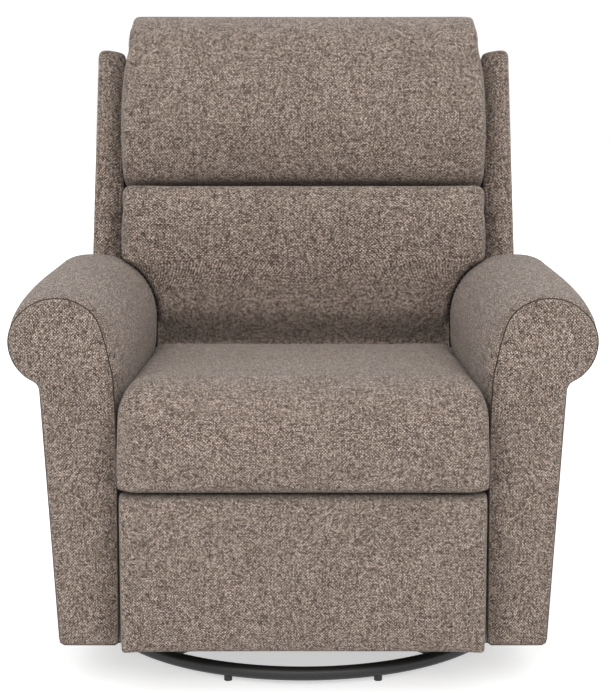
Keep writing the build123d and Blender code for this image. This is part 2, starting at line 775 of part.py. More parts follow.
with BuildPart() as seat_rail:
    with Locations(((rail_inner_x + seat_plate_x) / 2, (apron_rear_y + rail_rear_y) / 2, rail_bottom_z)):
        Box(rail_width, rail_rear_y - apron_rear_y, rail_height,
            align=(Align.CENTER, Align.CENTER, Align.MIN))
keep_pair("seat_rail", seat_rail)


with BuildPart() as seat_end_rails:
    for middle_y in (apron_rear_y + rail_width / 2, rail_rear_y - rail_width / 2):
        with Locations((0, middle_y, rail_bottom_z)):
            Box(2 * rail_inner_x, rail_width, rail_height, align=(Align.CENTER, Align.CENTER, Align.MIN))
pieces["seat_end_rails"] = seat_end_rails

# Sinuous springs: flat zigzags of half loops between the front and the rear rail.
spring_front_y = apron_rear_y + rail_width
spring_rear_y = rail_rear_y - rail_width
spring_step = (spring_rear_y - spring_front_y) / (spring_turns + 1)
spring_spacing = 2 * rail_inner_x / (spring_count + 1)

with BuildPart() as seat_springs:
    for number in range(spring_count):
        spring_x = (number + 1) * spring_spacing - rail_inner_x
        with BuildSketch(Plane.XY.offset(rail_top_z - 2 * spring_wire)):
            with Locations((spring_x, spring_front_y + spring_step / 2)):
                Rectangle(spring_wire, spring_step)
            with Locations((spring_x, spring_rear_y - spring_step / 2)):
                Rectangle(spring_wire, spring_step)
            for turn in range(spring_turns):
                row_y = spring_front_y + (turn + 1) * spring_step
                with Locations((spring_x, row_y)):
                    Rectangle(2 * spring_half_width, spring_wire)
            for turn in range(spring_turns - 1):
                row_y = spring_front_y + (turn + 1) * spring_step + spring_step / 2
                end_x = spring_x + spring_half_width * (1 if turn % 2 else -1)
                with Locations((end_x, row_y)):
                    Rectangle(spring_wire, spring_step + spring_wire)
        extrude(amount=spring_wire)
pieces["seat_springs"] = seat_springs


def seat_rear_y(z):
    """The seat's rear face, parallel to the lumbar cushion in front of it."""
    foot_y = back_foot[0] + (lumbar_seat_w - cloth_gap) / lean_cos
    return foot_y + (z - back_foot[1]) * tan(radians(back_lean))


def seat_section(x, top_drop, front_drop):
    """Side profile of the seat cushion at one place across, drawn in by the two drops."""
    front_y = seat_front_y + front_drop
    front_top = seat_front_top_z - top_drop
    rear_top = seat_rear_top_z - top_drop
    rear_upper = seat_rear_y(rear_top)
    rear_lower = seat_rear_y(rail_top_z)
    nose = seat_nose
    cut = nose * (1 - sin(radians(45)))
    with BuildSketch(side(x)) as section:
        with BuildLine():
            Polyline((front_y, front_top - nose), (front_y, seat_bottom_z), (apron_rear_y, seat_bottom_z),
                     (apron_rear_y, rail_top_z), (rear_lower, rail_top_z), (rear_upper, rear_top))
            ThreePointArc((rear_upper, rear_top),
                          ((front_y + rear_upper) / 2, (front_top + rear_top) / 2 + seat_crown),
                          (front_y + nose, front_top))
            ThreePointArc((front_y + nose, front_top), (front_y + cut, front_top - cut),
                          (front_y, front_top - nose))
        make_face()
    return section.sketch


def stations(half_width, steps):
    """Places across a cushion from its right side to its left, with how far each is drawn in."""
    right = [(-(half_width - inset), drops) for inset, drops in steps]
    left = [(half_width - inset, drops) for inset, drops in reversed(steps)]
    return right + [(0.0, (0.0, 0.0))] + left


seat_steps = ((0.0, (40.0, 14.0)), (6.0, (22.0, 7.0)), (16.0, (9.0, 2.0)), (144.0, (1.5, 0.5)))

with BuildPart() as seat_cushion:
    loft([seat_section(x, *drops) for x, drops in stations(seat_half_width, seat_steps)], ruled=True)
pieces["seat_cushion"] = seat_cushion

# ---------------------------------------------------------------- footrest linkage

with BuildPart() as drive_shaft:
    shaft_reach = seat_plate_outer_x
    with BuildSketch(side(-shaft_reach)):
        with Locations(drive_pivot):
            Circle(drive_shaft_diameter / 2)
            Circle(drive_shaft_diameter / 2 - drive_shaft_wall, mode=Mode.SUBTRACT)
    extrude(amount=2 * shaft_reach)
pieces["footrest_drive_shaft"] = drive_shaft

stud_length = bar_thickness + bar_gap + bar_thickness

with BuildPart() as drive_bars:
    extrude(bar_outline(drive_pivot, drive_points["long_rear"], bar_width, drive_bar_x), amount=bar_thickness)
    extrude(disc(drive_pivot, drive_boss_width, drive_bar_x), amount=bar_thickness)
    extrude(disc(drive_pivot, drive_shaft_diameter + 2 * fit, drive_bar_x), amount=bar_thickness,
            mode=Mode.SUBTRACT)
    for pivot in ("long_rear", "guide_middle"):
        extrude(disc(drive_points[pivot], link_stud_diameter, drive_bar_x), amount=stud_length)
    mirror(about=Plane.YZ)
pieces["footrest_drive_bars"] = drive_bars

with BuildPart() as second_bars:
    extrude(bar_outline(drive_points["second_top"], drive_points["second_front"], bar_width, drive_bar_x),
            amount=bar_thickness)
    for pivot in ("second_top", "second_middle", "second_front"):
        extrude(disc(drive_points[pivot], link_stud_diameter, drive_bar_x), amount=stud_length)
    mirror(about=Plane.YZ)
pieces["footrest_second_bars"] = second_bars


def make_guide_plane_bars(start, end, holes):
    """Left and right bar in the outer plane, with a hole and its clearance for each stud."""
    with BuildPart() as bars:
        extrude(bar_outline(drive_points[start], drive_points[end], bar_width, guide_bar_x),
                amount=bar_thickness)
        for pivot, gap in holes:
            extrude(disc(drive_points[pivot], link_stud_diameter + 2 * gap, guide_bar_x),
                    amount=bar_thickness, mode=Mode.SUBTRACT)
        if start == "slot_stud":
            extrude(disc(drive_points[start], link_stud_diameter, guide_bar_x),
                    amount=seat_plate_outer_x - guide_bar_x)
        mirror(about=Plane.YZ)
    return bars


pieces["footrest_guide_bars"] = make_guide_plane_bars(
    "slot_stud", "second_top", (("guide_middle", fit), ("second_top", open_pivot_gap)))
pieces["footrest_long_bars"] = make_guide_plane_bars(
    "long_rear", "long_front", (("long_rear", fit), ("second_middle", fit), ("long_front", fit)))
pieces["footrest_front_bars"] = make_guide_plane_bars(
    "second_front", "front_lower", (("second_front", fit), ("front_lower", open_pivot_gap)))

board_rear_y = footrest_front_y + footrest_pad + footrest_board

with BuildPart() as footrest_brackets:
    extrude(bar_outline(drive_points["long_front"], drive_points["front_lower"], bar_width, drive_bar_x),
            amount=bar_thickness)
    with BuildSketch(side(drive_bar_x)):
        with Locations(((board_rear_y + drive_points["front_lower"][0]) / 2,
                        (drive_points["long_front"][1] + drive_points["front_lower"][1]) / 2)):
            Rectangle(drive_points["front_lower"][0] - board_rear_y, front_step)
    extrude(amount=bar_thickness)
    with BuildSketch(side(drive_bar_x + bar_thickness - bracket_flange)):
        with Locations((board_rear_y + bar_thickness / 2,
                        (drive_points["long_front"][1] + drive_points["front_lower"][1]) / 2)):
            Rectangle(bar_thickness, front_step + bar_width)
    extrude(amount=bracket_flange)
    for pivot in ("long_front", "front_lower"):
        extrude(disc(drive_points[pivot], link_stud_diameter, drive_bar_x), amount=stud_length)
    mirror(about=Plane.YZ)
pieces["footrest_brackets"] = footrest_brackets

with BuildPart() as footrest_board_piece:
    with BuildSketch(across(board_rear_y)):
        with Locations((0, (footrest_bottom_z + footrest_top_z) / 2)):
            Rectangle(2 * (footrest_half_width - footrest_board_inset),
                      footrest_top_z - footrest_bottom_z - 2 * footrest_board_inset)
    extrude(amount=footrest_board)
pieces["footrest_board"] = footrest_board_piece


def footrest_section(x, end_drop, front_drop):
    """Side profile of the footrest pad at one place across, drawn in by the two drops."""
    front_y = footrest_front_y + front_drop
    rear_y = footrest_front_y + footrest_pad
    bottom = footrest_bottom_z + end_drop
    top = footrest_top_z - end_drop
    edge = footrest_edge
    cut = edge * (1 - sin(radians(45)))
    rim_y = front_y + footrest_crown
    with BuildSketch(side(x)) as section:
        with BuildLine():
            Polyline((rim_y + edge, top), (rear_y, top), (rear_y, bottom), (rim_y + edge, bottom))
            ThreePointArc((rim_y + edge, bottom), (rim_y + cut, bottom + cut), (rim_y, bottom + edge))
            ThreePointArc((rim_y, bottom + edge), (front_y, (bottom + top) / 2), (rim_y, top - edge))
            ThreePointArc((rim_y, top - edge), (rim_y + cut, top - cut), (rim_y + edge, top))
        make_face()
    return section.sketch


footrest_steps = ((0.0, (12.0, 14.0)), (4.0, (5.0, 6.0)), (12.0, (0.5, 2.0)), (140.0, (0.2, 0.5)))

with BuildPart() as footrest_cushion:
    loft([footrest_section(x, *drops) for x, drops in stations(footrest_half_width, footrest_steps)],
         ruled=True)
pieces["footrest_cushion"] = footrest_cushion

# ---------------------------------------------------------------- back

with BuildPart() as back_bracket:
    with BuildSketch(back_side(bracket_x)):
        with Locations((back_pivot_depth, 0)):
            Circle(hinge_boss_radius)
        Polygon(
            (back_pivot_depth, -hinge_boss_radius),
            (back_pivot_depth, hinge_boss_radius),
            (post_front_w, back_bracket_top_u),
            (post_front_w + post_depth / 2, back_bracket_top_u),
            (post_front_w + post_depth / 2, post_bottom_u),
        )
        with Locations((back_pivot_depth, 0)):
            Circle(hinge_pin_diameter / 2 + fit, mode=Mode.SUBTRACT)
    extrude(amount=hinge_plate_thickness)
keep_pair("back_bracket", back_bracket)

post_outer_x = bracket_x
post_start_x = post_outer_x - post_width

with BuildPart() as back_post:
    with BuildSketch(back_side(post_start_x)):
        with Locations((post_front_w + post_depth / 2, (post_bottom_u + post_top_u) / 2)):
            Rectangle(post_depth, post_top_u - post_bottom_u)
    extrude(amount=post_width)
keep_pair("back_post", back_post)

with BuildPart() as back_rails:
    with BuildSketch(back_side(-post_start_x)):
        for bottom_u in (post_bottom_u, back_rail_middle_u, post_top_u - back_rail_height):
            with Locations((post_front_w + post_depth / 2, bottom_u + back_rail_height / 2)):
                Rectangle(post_depth, back_rail_height)
    extrude(amount=2 * post_start_x)
pieces["back_rails"] = back_rails

webbing_step = (post_top_u - post_bottom_u) / webbing_count

with BuildPart() as back_webbing:
    for number in range(webbing_count):
        with BuildSketch(back_side(-post_outer_x)):
            with Locations((post_front_w - webbing_thickness / 2,
                            post_bottom_u + (number + 0.5) * webbing_step)):
                Rectangle(webbing_thickness, webbing_width)
        extrude(amount=2 * post_outer_x)
pieces["back_webbing"] = back_webbing

# Wings: padded side frames that taper upwards, with a flange to the posts and a lower lug
# that closes the gap behind the arm and slides inside the base box as the back reclines.
def lug_point(angle):
    """Place on the lug's round edge, at an angle below the wing's lower edge."""
    return (back_pivot_depth + sweep_radius * cos(radians(angle)), -sweep_radius * sin(radians(angle)))


with BuildPart() as wing:
    with BuildSketch(back_front(0)) as wing_front:
        Polygon(
            (wing_inner_x, wing_bottom_u),
            (wing_bottom_outer_x, wing_bottom_u),
            (wing_top_outer_x, back_height),
            (wing_inner_x, back_height),
        )
        fillet(wing_front.vertices().group_by(Axis.Y)[-1].sort_by(Axis.X)[-1], wing_corner_radius)
    extrude(amount=-back_thickness)
    with BuildSketch(back_side(post_outer_x)):
        with Locations((post_front_w + post_depth / 2, (wing_flange_from_u + post_top_u) / 2)):
            Rectangle(post_depth, post_top_u - wing_flange_from_u)
    extrude(amount=wing_inner_x - post_outer_x)
    with BuildSketch(back_side(lug_inner_x)):
        with BuildLine():
            Polyline(lug_point(lug_angle), (back_pivot_depth, 0), lug_point(lug_overlap_angle))
            ThreePointArc(lug_point(lug_overlap_angle), lug_point(lug_angle / 2), lug_point(lug_angle))
        make_face()
    extrude(amount=lug_thickness)
keep_pair("back_wing", wing)

panel_front_w = back_thickness - outside_panel_thickness
panel_top_u = post_top_u - cloth_gap / 2

with BuildPart() as outside_back:
    with BuildSketch(back_side(-wing_inner_x)):
        with BuildLine():
            Polyline((back_thickness, wing_bottom_u), (panel_front_w, wing_bottom_u),
                     (panel_front_w, panel_top_u), (back_thickness, panel_top_u))
            ThreePointArc((back_thickness, panel_top_u),
                          (back_thickness + outside_panel_crown, back_height / 2),
                          (back_thickness, wing_bottom_u))
        make_face()
    extrude(amount=2 * wing_inner_x)
pieces["outside_back_panel"] = outside_back


def lumbar_section(x, end_drop, front_drop):
    """Side profile of the lumbar cushion at one place across."""
    top = lumbar_top_u - end_drop
    front_w = lumbar_front_w + front_drop
    edge = back_cushion_edge
    cut = edge * (1 - sin(radians(45)))
    seat_w = lumbar_seat_w + front_drop
    with BuildSketch(back_side(x)) as section:
        with BuildLine():
            Polyline((front_w + edge, top), (cushion_rear_w, top), (cushion_rear_w, lumbar_bottom_u),
                     (seat_w + lumbar_tuck, lumbar_bottom_u), (seat_w, lumbar_seat_u))
            ThreePointArc((seat_w, lumbar_seat_u), (front_w + lumbar_rise, lumbar_rise_u),
                          (front_w, top - 2 * edge))
            Line((front_w, top - 2 * edge), (front_w, top - edge))
            ThreePointArc((front_w, top - edge), (front_w + cut, top - cut), (front_w + edge, top))
        make_face()
    return section.sketch


back_steps = ((0.0, (16.0, 24.0)), (5.0, (7.0, 12.0)), (18.0, (1.0, 4.0)), (150.0, (0.2, 1.0)))

with BuildPart() as lumbar_cushion:
    loft([lumbar_section(x, *drops) for x, drops in stations(cushion_half_width, back_steps)], ruled=True)
    for hand in (1, -1):
        with BuildSketch(across(back_plane_y + back_thickness)):
            with Locations((hand * (lumbar_lower_half_width + back_thickness / 2),
                            lumbar_shoulder_z - back_thickness)):
                Rectangle(back_thickness, 2 * back_thickness)
        extrude(amount=2 * back_thickness, mode=Mode.SUBTRACT)
pieces["lumbar_cushion"] = lumbar_cushion


def head_section(x, end_drop, front_drop):
    """Side profile of the head cushion, which rolls back over the top of the frame."""
    front_w = head_front_w + front_drop
    edge = back_cushion_edge
    cut = edge * (1 - sin(radians(45)))
    bottom = head_bottom_u + end_drop
    brow = (head_brow_w + front_drop, head_brow_u)
    crest = (head_crest_w, head_crest_u - end_drop)
    with BuildSketch(back_side(x)) as section:
        with BuildLine():
            Polyline((head_rear_w, head_rear_u), (head_rear_w, post_top_u), (cushion_rear_w, post_top_u),
                     (cushion_rear_w, bottom), (front_w + edge, bottom))
            ThreePointArc((front_w + edge, bottom), (front_w + cut, bottom + cut), (front_w, bottom + edge))
            ThreePointArc((front_w, bottom + edge), (front_w - head_crown, (bottom + head_brow_u) / 2), brow)
            ThreePointArc(brow, (head_top_w + front_drop, head_top_u - end_drop), crest)
            ThreePointArc(crest, (head_roll_w, head_roll_u - end_drop), (head_rear_w, head_rear_u))
        make_face()
    return section.sketch


head_steps = ((0.0, (14.0, 22.0)), (5.0, (7.0, 12.0)), (18.0, (2.0, 4.0)), (150.0, (0.5, 1.0)))

with BuildPart() as head_cushion:
    loft([head_section(x, *drops) for x, drops in stations(cushion_half_width, head_steps)], ruled=True)
pieces["head_cushion"] = head_cushion

# ---------------------------------------------------------------- files

for name, piece in pieces.items():
    piece.part.label = name
    export_step(piece.part, f"parts/{name}.step")
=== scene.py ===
"""Swivel glider recliner, dressed in Blender. Metres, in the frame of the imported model: +Z up,
the front faces -Y, the sitter's left is +X.

Each pad is a tube of closed rows. An outline in two coordinates is carried along the third one
and drawn in towards a straight spine near both ends. Its cloth coordinates are metres round and
along these rows, and the weave reads them.
"""

import json
from math import cos, pi, radians, sin, tan

import bmesh
import bpy
import numpy as np
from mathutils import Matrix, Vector


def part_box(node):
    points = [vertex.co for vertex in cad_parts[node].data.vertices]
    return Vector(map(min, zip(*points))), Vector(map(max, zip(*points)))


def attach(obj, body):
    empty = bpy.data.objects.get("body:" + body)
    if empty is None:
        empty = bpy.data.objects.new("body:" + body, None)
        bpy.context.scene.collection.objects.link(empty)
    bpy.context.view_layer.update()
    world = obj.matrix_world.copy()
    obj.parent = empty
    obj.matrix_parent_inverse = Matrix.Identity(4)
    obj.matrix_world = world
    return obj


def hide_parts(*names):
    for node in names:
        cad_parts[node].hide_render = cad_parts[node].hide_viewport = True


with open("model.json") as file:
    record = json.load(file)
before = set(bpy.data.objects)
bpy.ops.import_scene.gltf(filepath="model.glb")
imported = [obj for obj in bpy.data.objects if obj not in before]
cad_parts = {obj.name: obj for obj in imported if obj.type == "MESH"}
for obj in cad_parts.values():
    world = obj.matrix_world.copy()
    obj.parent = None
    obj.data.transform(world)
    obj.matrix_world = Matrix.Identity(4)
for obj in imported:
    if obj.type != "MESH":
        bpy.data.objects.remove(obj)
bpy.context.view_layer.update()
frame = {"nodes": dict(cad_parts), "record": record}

# ---------------------------------------------------------------- places shared by the pieces

lean_degrees, recline_degrees = 16, 27
back_lean, full_lean = radians(lean_degrees), radians(lean_degrees + recline_degrees)
lean_cos, lean_sin, lean_tan = cos(back_lean), sin(back_lean), tan(back_lean)
back_foot = np.array((0.08198, 0.36989))     # y, z of the foot of the back's leaning frame
back_pivot_w = 0.025                         # w is the distance behind the back's leaning plane
seat_rear_w = -0.005
arm_cut_w = -0.002
sweep_radius = 0.183                         # round edge of the wing's lug, about the pivot
cut_radius = 0.18598                         # curved cut in the base sides, about the pivot
rear_reach = 0.1858                          # from the pivot to the back's rear face
arm_seam_y = -0.4055
arm_foot, arm_neck = (0.382, 0.067), (0.410, 0.482)        # x, z along the arm's outer side
roll_middle, roll_radii = (0.380, 0.515), (0.110, 0.1145)  # x, z of the roll's inner side
side_hands = (("left", 1.0), ("right", -1.0))


def leaning(w, u):
    """Depth and height of a place in the back's frame: w runs to the rear, u up along the back."""
    return back_foot[0] + w * lean_cos + u * lean_sin, back_foot[1] - w * lean_sin + u * lean_cos


def leaning_depth(w, z):
    """Depth of the leaning plane at distance w, at height z."""
    return back_foot[0] + w / lean_cos + (z - back_foot[1]) * lean_tan


# ---------------------------------------------------------------- outlines


def divided(line, count):
    """Closed line cut into equal steps: linear interpolation along its running length."""
    closed = np.vstack([line, line[:1]])
    run = np.concatenate([[0.0], np.cumsum(np.linalg.norm(np.diff(closed, axis=0), axis=1))])
    at = np.linspace(0.0, run[-1], count, endpoint=False)
    return np.stack([np.interp(at, run, closed[:, k]) for k in (0, 1)], axis=1)


def rounded(corners, count, arc_points=11):
    """Closed outline through corners (p, q, radius). Each corner is an arc whose centre lies on
    the corner's bisector at radius / sin(half angle)."""
    data = np.array(corners, float)
    points, radius = data[:, :2], data[:, 2:]
    back = np.roll(points, 1, 0) - points
    ahead = np.roll(points, -1, 0) - points
    back /= np.linalg.norm(back, axis=1)[:, None]
    ahead /= np.linalg.norm(ahead, axis=1)[:, None]
    half = np.arccos(np.clip((back * ahead).sum(1), -1, 1))[:, None] / 2
    bisector = back + ahead
    bisector /= np.linalg.norm(bisector, axis=1)[:, None]
    centre = points + bisector * radius / np.sin(half)
    start = points + back * radius / np.tan(half) - centre
    end = points + ahead * radius / np.tan(half) - centre
    turn = pi - 2 * half
    share = np.linspace(0, 1, arc_points)[None]
    first = np.sin((1 - share) * turn) / np.sin(turn)
    last = np.sin(share * turn) / np.sin(turn)
    arcs = centre[:, None] + first[..., None] * start[:, None] + last[..., None] * end[:, None]
    return divided(arcs.reshape(-1, 2), count)


def ellipse_run(centre, radii, start, end, count=24, power=2.0):
    """Points of an ellipse from one angle to another, in degrees; a power above 2 squares it, as
    each axis takes the cosine or sine to 2 / power."""
    angle = np.radians(np.linspace(start, end, count))
    wave = np.stack([np.cos(angle), np.sin(angle)], axis=1)
    return np.array(centre) + np.array(radii) * np.sign(wave) * np.abs(wave) ** (2 / power)


def smooth_line(points, count):
    """Open curve through points: Catmull-Rom cubics, evaluated for all runs at once."""
    p = np.array(points, float)
    p = np.vstack([2 * p[0] - p[1], p, 2 * p[-1] - p[-2]])
    t = np.linspace(0, 1, count, endpoint=False)[None, :, None]
    a, b, c, d = (p[k:len(p) - 3 + k][:, None] for k in range(4))
    square, cube = 2 * a - 5 * b + 4 * c - d, 3 * b - a - 3 * c + d
    curve = 0.5 * (2 * b + (c - a) * t + square * t**2 + cube * t**3)
    return np.vstack([curve.reshape(-1, 2), p[-2:-1]])


# ---------------------------------------------------------------- surfaces

quarter = np.linspace(0, pi / 2, 6)


def covered(distance, length):
    """Share of a length that a distance covers, from 0 to 1."""
    return np.clip(distance / length, 0, 1)


def rim(radius):
    """Rise and inset of a rounded rim: a quarter circle of the radius."""
    return radius * np.sin(quarter), radius * (1 - np.cos(quarter))


def both_edges(reach, radius, inner, steps=6):
    """Places and insets across a pad: a rounded edge, which is a quarter circle of the radius, an
    even middle of `inner` places, and the same edge again."""
    angle = np.linspace(pi / 2, 0, steps, endpoint=False)
    edge = reach - radius + radius * np.sin(angle)
    inset = radius * (1 - np.cos(angle))
    middle = np.linspace(-(reach - radius), reach - radius, inner)
    places = np.concatenate([-edge, middle, edge[::-1]])
    return places, np.concatenate([inset, np.zeros(inner), inset[::-1]])


def spine_feet(outline, spine):
    """Nearest place on a straight spine to each outline point."""
    a, b = np.array(spine, float)
    run = b - a
    share = np.clip(((outline - a) @ run) / (run @ run), 0, 1)
    return a + share[:, None] * run


def inward(outline, spine):
    """Unit step from each outline point towards its foot on the spine."""
    step = spine_feet(outline, spine) - outline
    return step / np.linalg.norm(step, axis=1)[:, None]


def ladder(ring, first):
    """Rungs across a narrow closed ring, from its point `first` to the one opposite: each face
    joins two steps of one side to the same two steps of the other."""
    turned = np.roll(ring, -first, axis=0)
    half = len(turned) // 2
    left, right = turned[:half], turned[half:][::-1]
    return np.stack([left[:-1], left[1:], right[1:], right[:-1]], axis=1)


def shell_object(name, points, faces, cloth):
    """Smooth closed mesh with its normals outward; cloth holds a place in the cloth for each
    corner of each face."""
    mesh = bpy.data.meshes.new(name)
    mesh.from_pydata(points.reshape(-1, 3).tolist(), [], faces.tolist())
    weave = mesh.uv_layers.new(name="weave")
    weave.data.foreach_set("uv", cloth.astype(np.float32).ravel())
    mesh.polygons.foreach_set("use_smooth", np.ones(len(mesh.polygons), bool))
    mesh.update()
    shell = bmesh.new()
    shell.from_mesh(mesh)
    bmesh.ops.recalc_face_normals(shell, faces=shell.faces)
    shell.to_mesh(mesh)
    shell.free()
    piece = bpy.data.objects.new(name, mesh)
    bpy.context.scene.collection.objects.link(piece)
    return piece


def tube(name, outline, spine, flat, rows, caps):
    """Tube of closed rows (row, point, xyz), with a ladder of faces over each end. In the cloth a
    point lies at its length round the outline and at the mean length along the rows. In the first
    and last `caps` rows it lies as in `flat`, the same points in the outline's own plane."""
    around = np.linalg.norm(np.roll(outline, -1, 0) - outline, axis=1)
    hop = np.linalg.norm(np.diff(rows, axis=0), axis=2).mean(1)
    u = np.concatenate([[0.0], np.cumsum(around)])
    v = np.concatenate([[0.0], np.cumsum(hop)])
    count, points = flat.shape[:2]
    cloth = np.empty((count - 1, points, 4, 2))
    for k, (dr, dp) in enumerate(((0, 0), (0, 1), (1, 1), (1, 0))):
        cloth[:, :, k, 0] = u[dp:points + dp][None]
        cloth[:, :, k, 1] = v[dr:count - 1 + dr][:, None]
        turned = np.roll(flat, -dp, axis=1)[dr:count - 1 + dr]
        cloth[:caps, :, k] = turned[:caps]
        cloth[count - 1 - caps:, :, k] = turned[count - 1 - caps:]
    lowest = int(np.argmin(flat[-1] @ np.subtract(spine[1], spine[0])))
    index = np.arange(count * points).reshape(count, points)
    beside = np.roll(index, -1, axis=1)
    quads = np.stack([index[:-1], beside[:-1], beside[1:], index[1:]], axis=-1).reshape(-1, 4)
    faces = np.vstack([quads, ladder(index[0], lowest), ladder(index[-1], lowest)])
    ends = [ladder(end, lowest).reshape(-1, 2) for end in (flat[0], flat[-1])]
    return shell_object(name, rows, faces, np.vstack([cloth.reshape(-1, 2), *ends]))


def pad(name, outline, spine, places, insets, place_map, end_puff=(0.0, 0.0),
        cap_steps=(0.12, 0.25, 0.4, 0.55, 0.7, 0.85), most_drawn=0.9):
    """Closed pad. The outline (p, q) is carried through the places t, drawn towards its spine by
    the insets, at most by the share most_drawn of the way. Both ends go on to the spine in rings
    at the shares cap_steps, and bulge by end_puff * (1 - (1 - share)**2)."""
    shares = np.array(cap_steps)
    feet = spine_feet(outline, spine)
    step = feet - outline
    length = np.linalg.norm(step, axis=1)[:, None]
    inset = np.asarray(insets, float).reshape(len(places), -1)
    inset = np.broadcast_to(inset, (len(places), len(outline)))[..., None]
    flat = outline[None] + (step / length)[None] * np.minimum(inset, most_drawn * length[None])
    rise = 1 - (1 - shares) ** 2
    first = flat[0][None] + (feet - flat[0])[None] * shares[::-1, None, None]
    last = flat[-1][None] + (feet - flat[-1])[None] * shares[:, None, None]
    front, rear = places[0] - end_puff[0] * rise[::-1], places[-1] + end_puff[1] * rise
    run = np.concatenate([front, places, rear])
    flat = np.concatenate([first, flat, last])
    p, q = flat[..., 0], flat[..., 1]
    rows = np.stack(place_map(p, q, np.broadcast_to(run[:, None], p.shape)), axis=-1)
    return tube(name, outline, spine, flat, rows, len(shares))


# ---------------------------------------------------------------- stuffing

sim_frames = 14
air_pressure = 5.0


def stuffed(piece, reach, free):
    """Cloth under air pressure: the shell swells for some frames, each point's move is capped
    smoothly at reach, and free (0 to 1 for each point) holds back what lies on the frame."""
    mesh = piece.data
    start = np.empty(len(mesh.vertices) * 3)
    mesh.vertices.foreach_get("co", start)
    start = start.reshape(-1, 3)
    swell = piece.modifiers.new("swell", "CLOTH")
    settings = swell.settings
    settings.quality = 4
    settings.mass = 0.3
    settings.tension_stiffness = 18.0
    settings.compression_stiffness = 18.0
    settings.shear_stiffness = 6.0
    settings.bending_stiffness = 0.6
    settings.use_pressure = True
    settings.uniform_pressure_force = air_pressure
    settings.effector_weights.gravity = 0.0
    swell.point_cache.frame_start = 1
    swell.point_cache.frame_end = sim_frames
    scene = bpy.context.scene
    for number in range(1, sim_frames + 1):
        scene.frame_set(number)
    shell = piece.evaluated_get(bpy.context.evaluated_depsgraph_get())
    moved = np.empty(start.size)
    shell.data.vertices.foreach_get("co", moved)
    move = moved.reshape(-1, 3) - start
    piece.modifiers.remove(swell)
    scene.frame_set(1)
    size = np.linalg.norm(move, axis=1)[:, None]
    move *= reach / (size + reach)
    move *= np.clip(free(start), 0, 1)[:, None]
    mesh.vertices.foreach_set("co", (start + move).ravel())
    mesh.update()
    return piece


def finer(piece):
    """One level of subdivision, the same in the view and in the render."""
    smooth = piece.modifiers.new("finer", "SUBSURF")
    smooth.levels = smooth.render_levels = 1
    return piece


def coarser(piece, factor=1.2):
    """The grain on the back measures a fifth coarser in the photo: its cloth coordinates shrink."""
    weave = piece.data.uv_layers["weave"].data
    flat = np.empty(len(weave) * 2, np.float32)
    weave.foreach_get("uv", flat)
    weave.foreach_set("uv", flat / factor)
    return piece


def dress(piece, body, slot, *nodes, fill=None):
    """Material, body, slot and the CAD nodes that the piece stands for."""
    piece.data.materials.append(materials[slot])
    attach(piece, body)
    if nodes:
        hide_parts(*nodes)
    return piece


# ---------------------------------------------------------------- materials


def new_finish(name):
    material = bpy.data.materials.new(name)
    material.use_nodes = True
    nodes, links = material.node_tree.nodes, material.node_tree.links
    return material, nodes, links, nodes["Principled BSDF"]


def object_place(nodes):
    return nodes.new("ShaderNodeTexCoord").outputs["Object"]


def placed(nodes, links, source, scale):
    node = nodes.new("ShaderNodeMapping")
    node.inputs["Scale"].default_value = scale
    links.new(source, node.inputs["Vector"])
    return node.outputs["Vector"]


def noise(nodes, links, source, scale, detail, dimensions="3D"):
    node = nodes.new("ShaderNodeTexNoise")
    node.noise_dimensions = dimensions
    node.inputs["Scale"].default_value = scale
    node.inputs["Detail"].default_value = detail
    links.new(source, node.inputs["Vector"])
    return node


def ramp(nodes, links, source, stops):
    """Colour ramp from a value; stops are (place, (r, g, b))."""
    node = nodes.new("ShaderNodeValToRGB")
    band = node.color_ramp.elements
    while len(band) < len(stops):
        band.new(0.5)
    for element, (place, colour) in zip(band, stops):
        element.position = place
        element.color = (*colour, 1.0)
    links.new(source, node.inputs["Fac"])
    return node.outputs["Color"]


def multiplied(nodes, links, first, second):
    """Product of two colours. A mix node has its factor at socket 0, its colours at 6 and 7, and
    gives its colour at 2."""
    node = nodes.new("ShaderNodeMix")
    node.data_type = "RGBA"
    node.blend_type = "MULTIPLY"
    node.inputs[0].default_value = 1.0
    links.new(first, node.inputs[6])
    links.new(second, node.inputs[7])
    return node.outputs[2]


def weighed(nodes, links, terms):
    """Sum of sources, each times its own share."""
    total = None
    for source, share in terms:
        step = nodes.new("ShaderNodeMath")
        step.operation = "MULTIPLY_ADD"
        step.inputs[1].default_value = share
        step.inputs[2].default_value = 0.0
        links.new(source, step.inputs[0])
        if total is not None:
            links.new(total, step.inputs[2])
        total = step.outputs[0]
    return total


def reckoned(nodes, links, operation, first, second=None):
    """One step of arithmetic on a source and a source or number."""
    step = nodes.new("ShaderNodeMath")
    step.operation = operation
    links.new(first, step.inputs[0])
    if hasattr(second, "links"):
        links.new(second, step.inputs[1])
    elif second is not None:
        step.inputs[1].default_value = second
    return step.outputs[0]


def bumped(nodes, links, shader, height, strength, distance):
    """Relief in the shading alone."""
    node = nodes.new("ShaderNodeBump")
    node.inputs["Strength"].default_value = strength
    node.inputs["Distance"].default_value = distance
    links.new(height, node.inputs["Height"])
    links.new(node.outputs["Normal"], shader.inputs["Normal"])
    return node


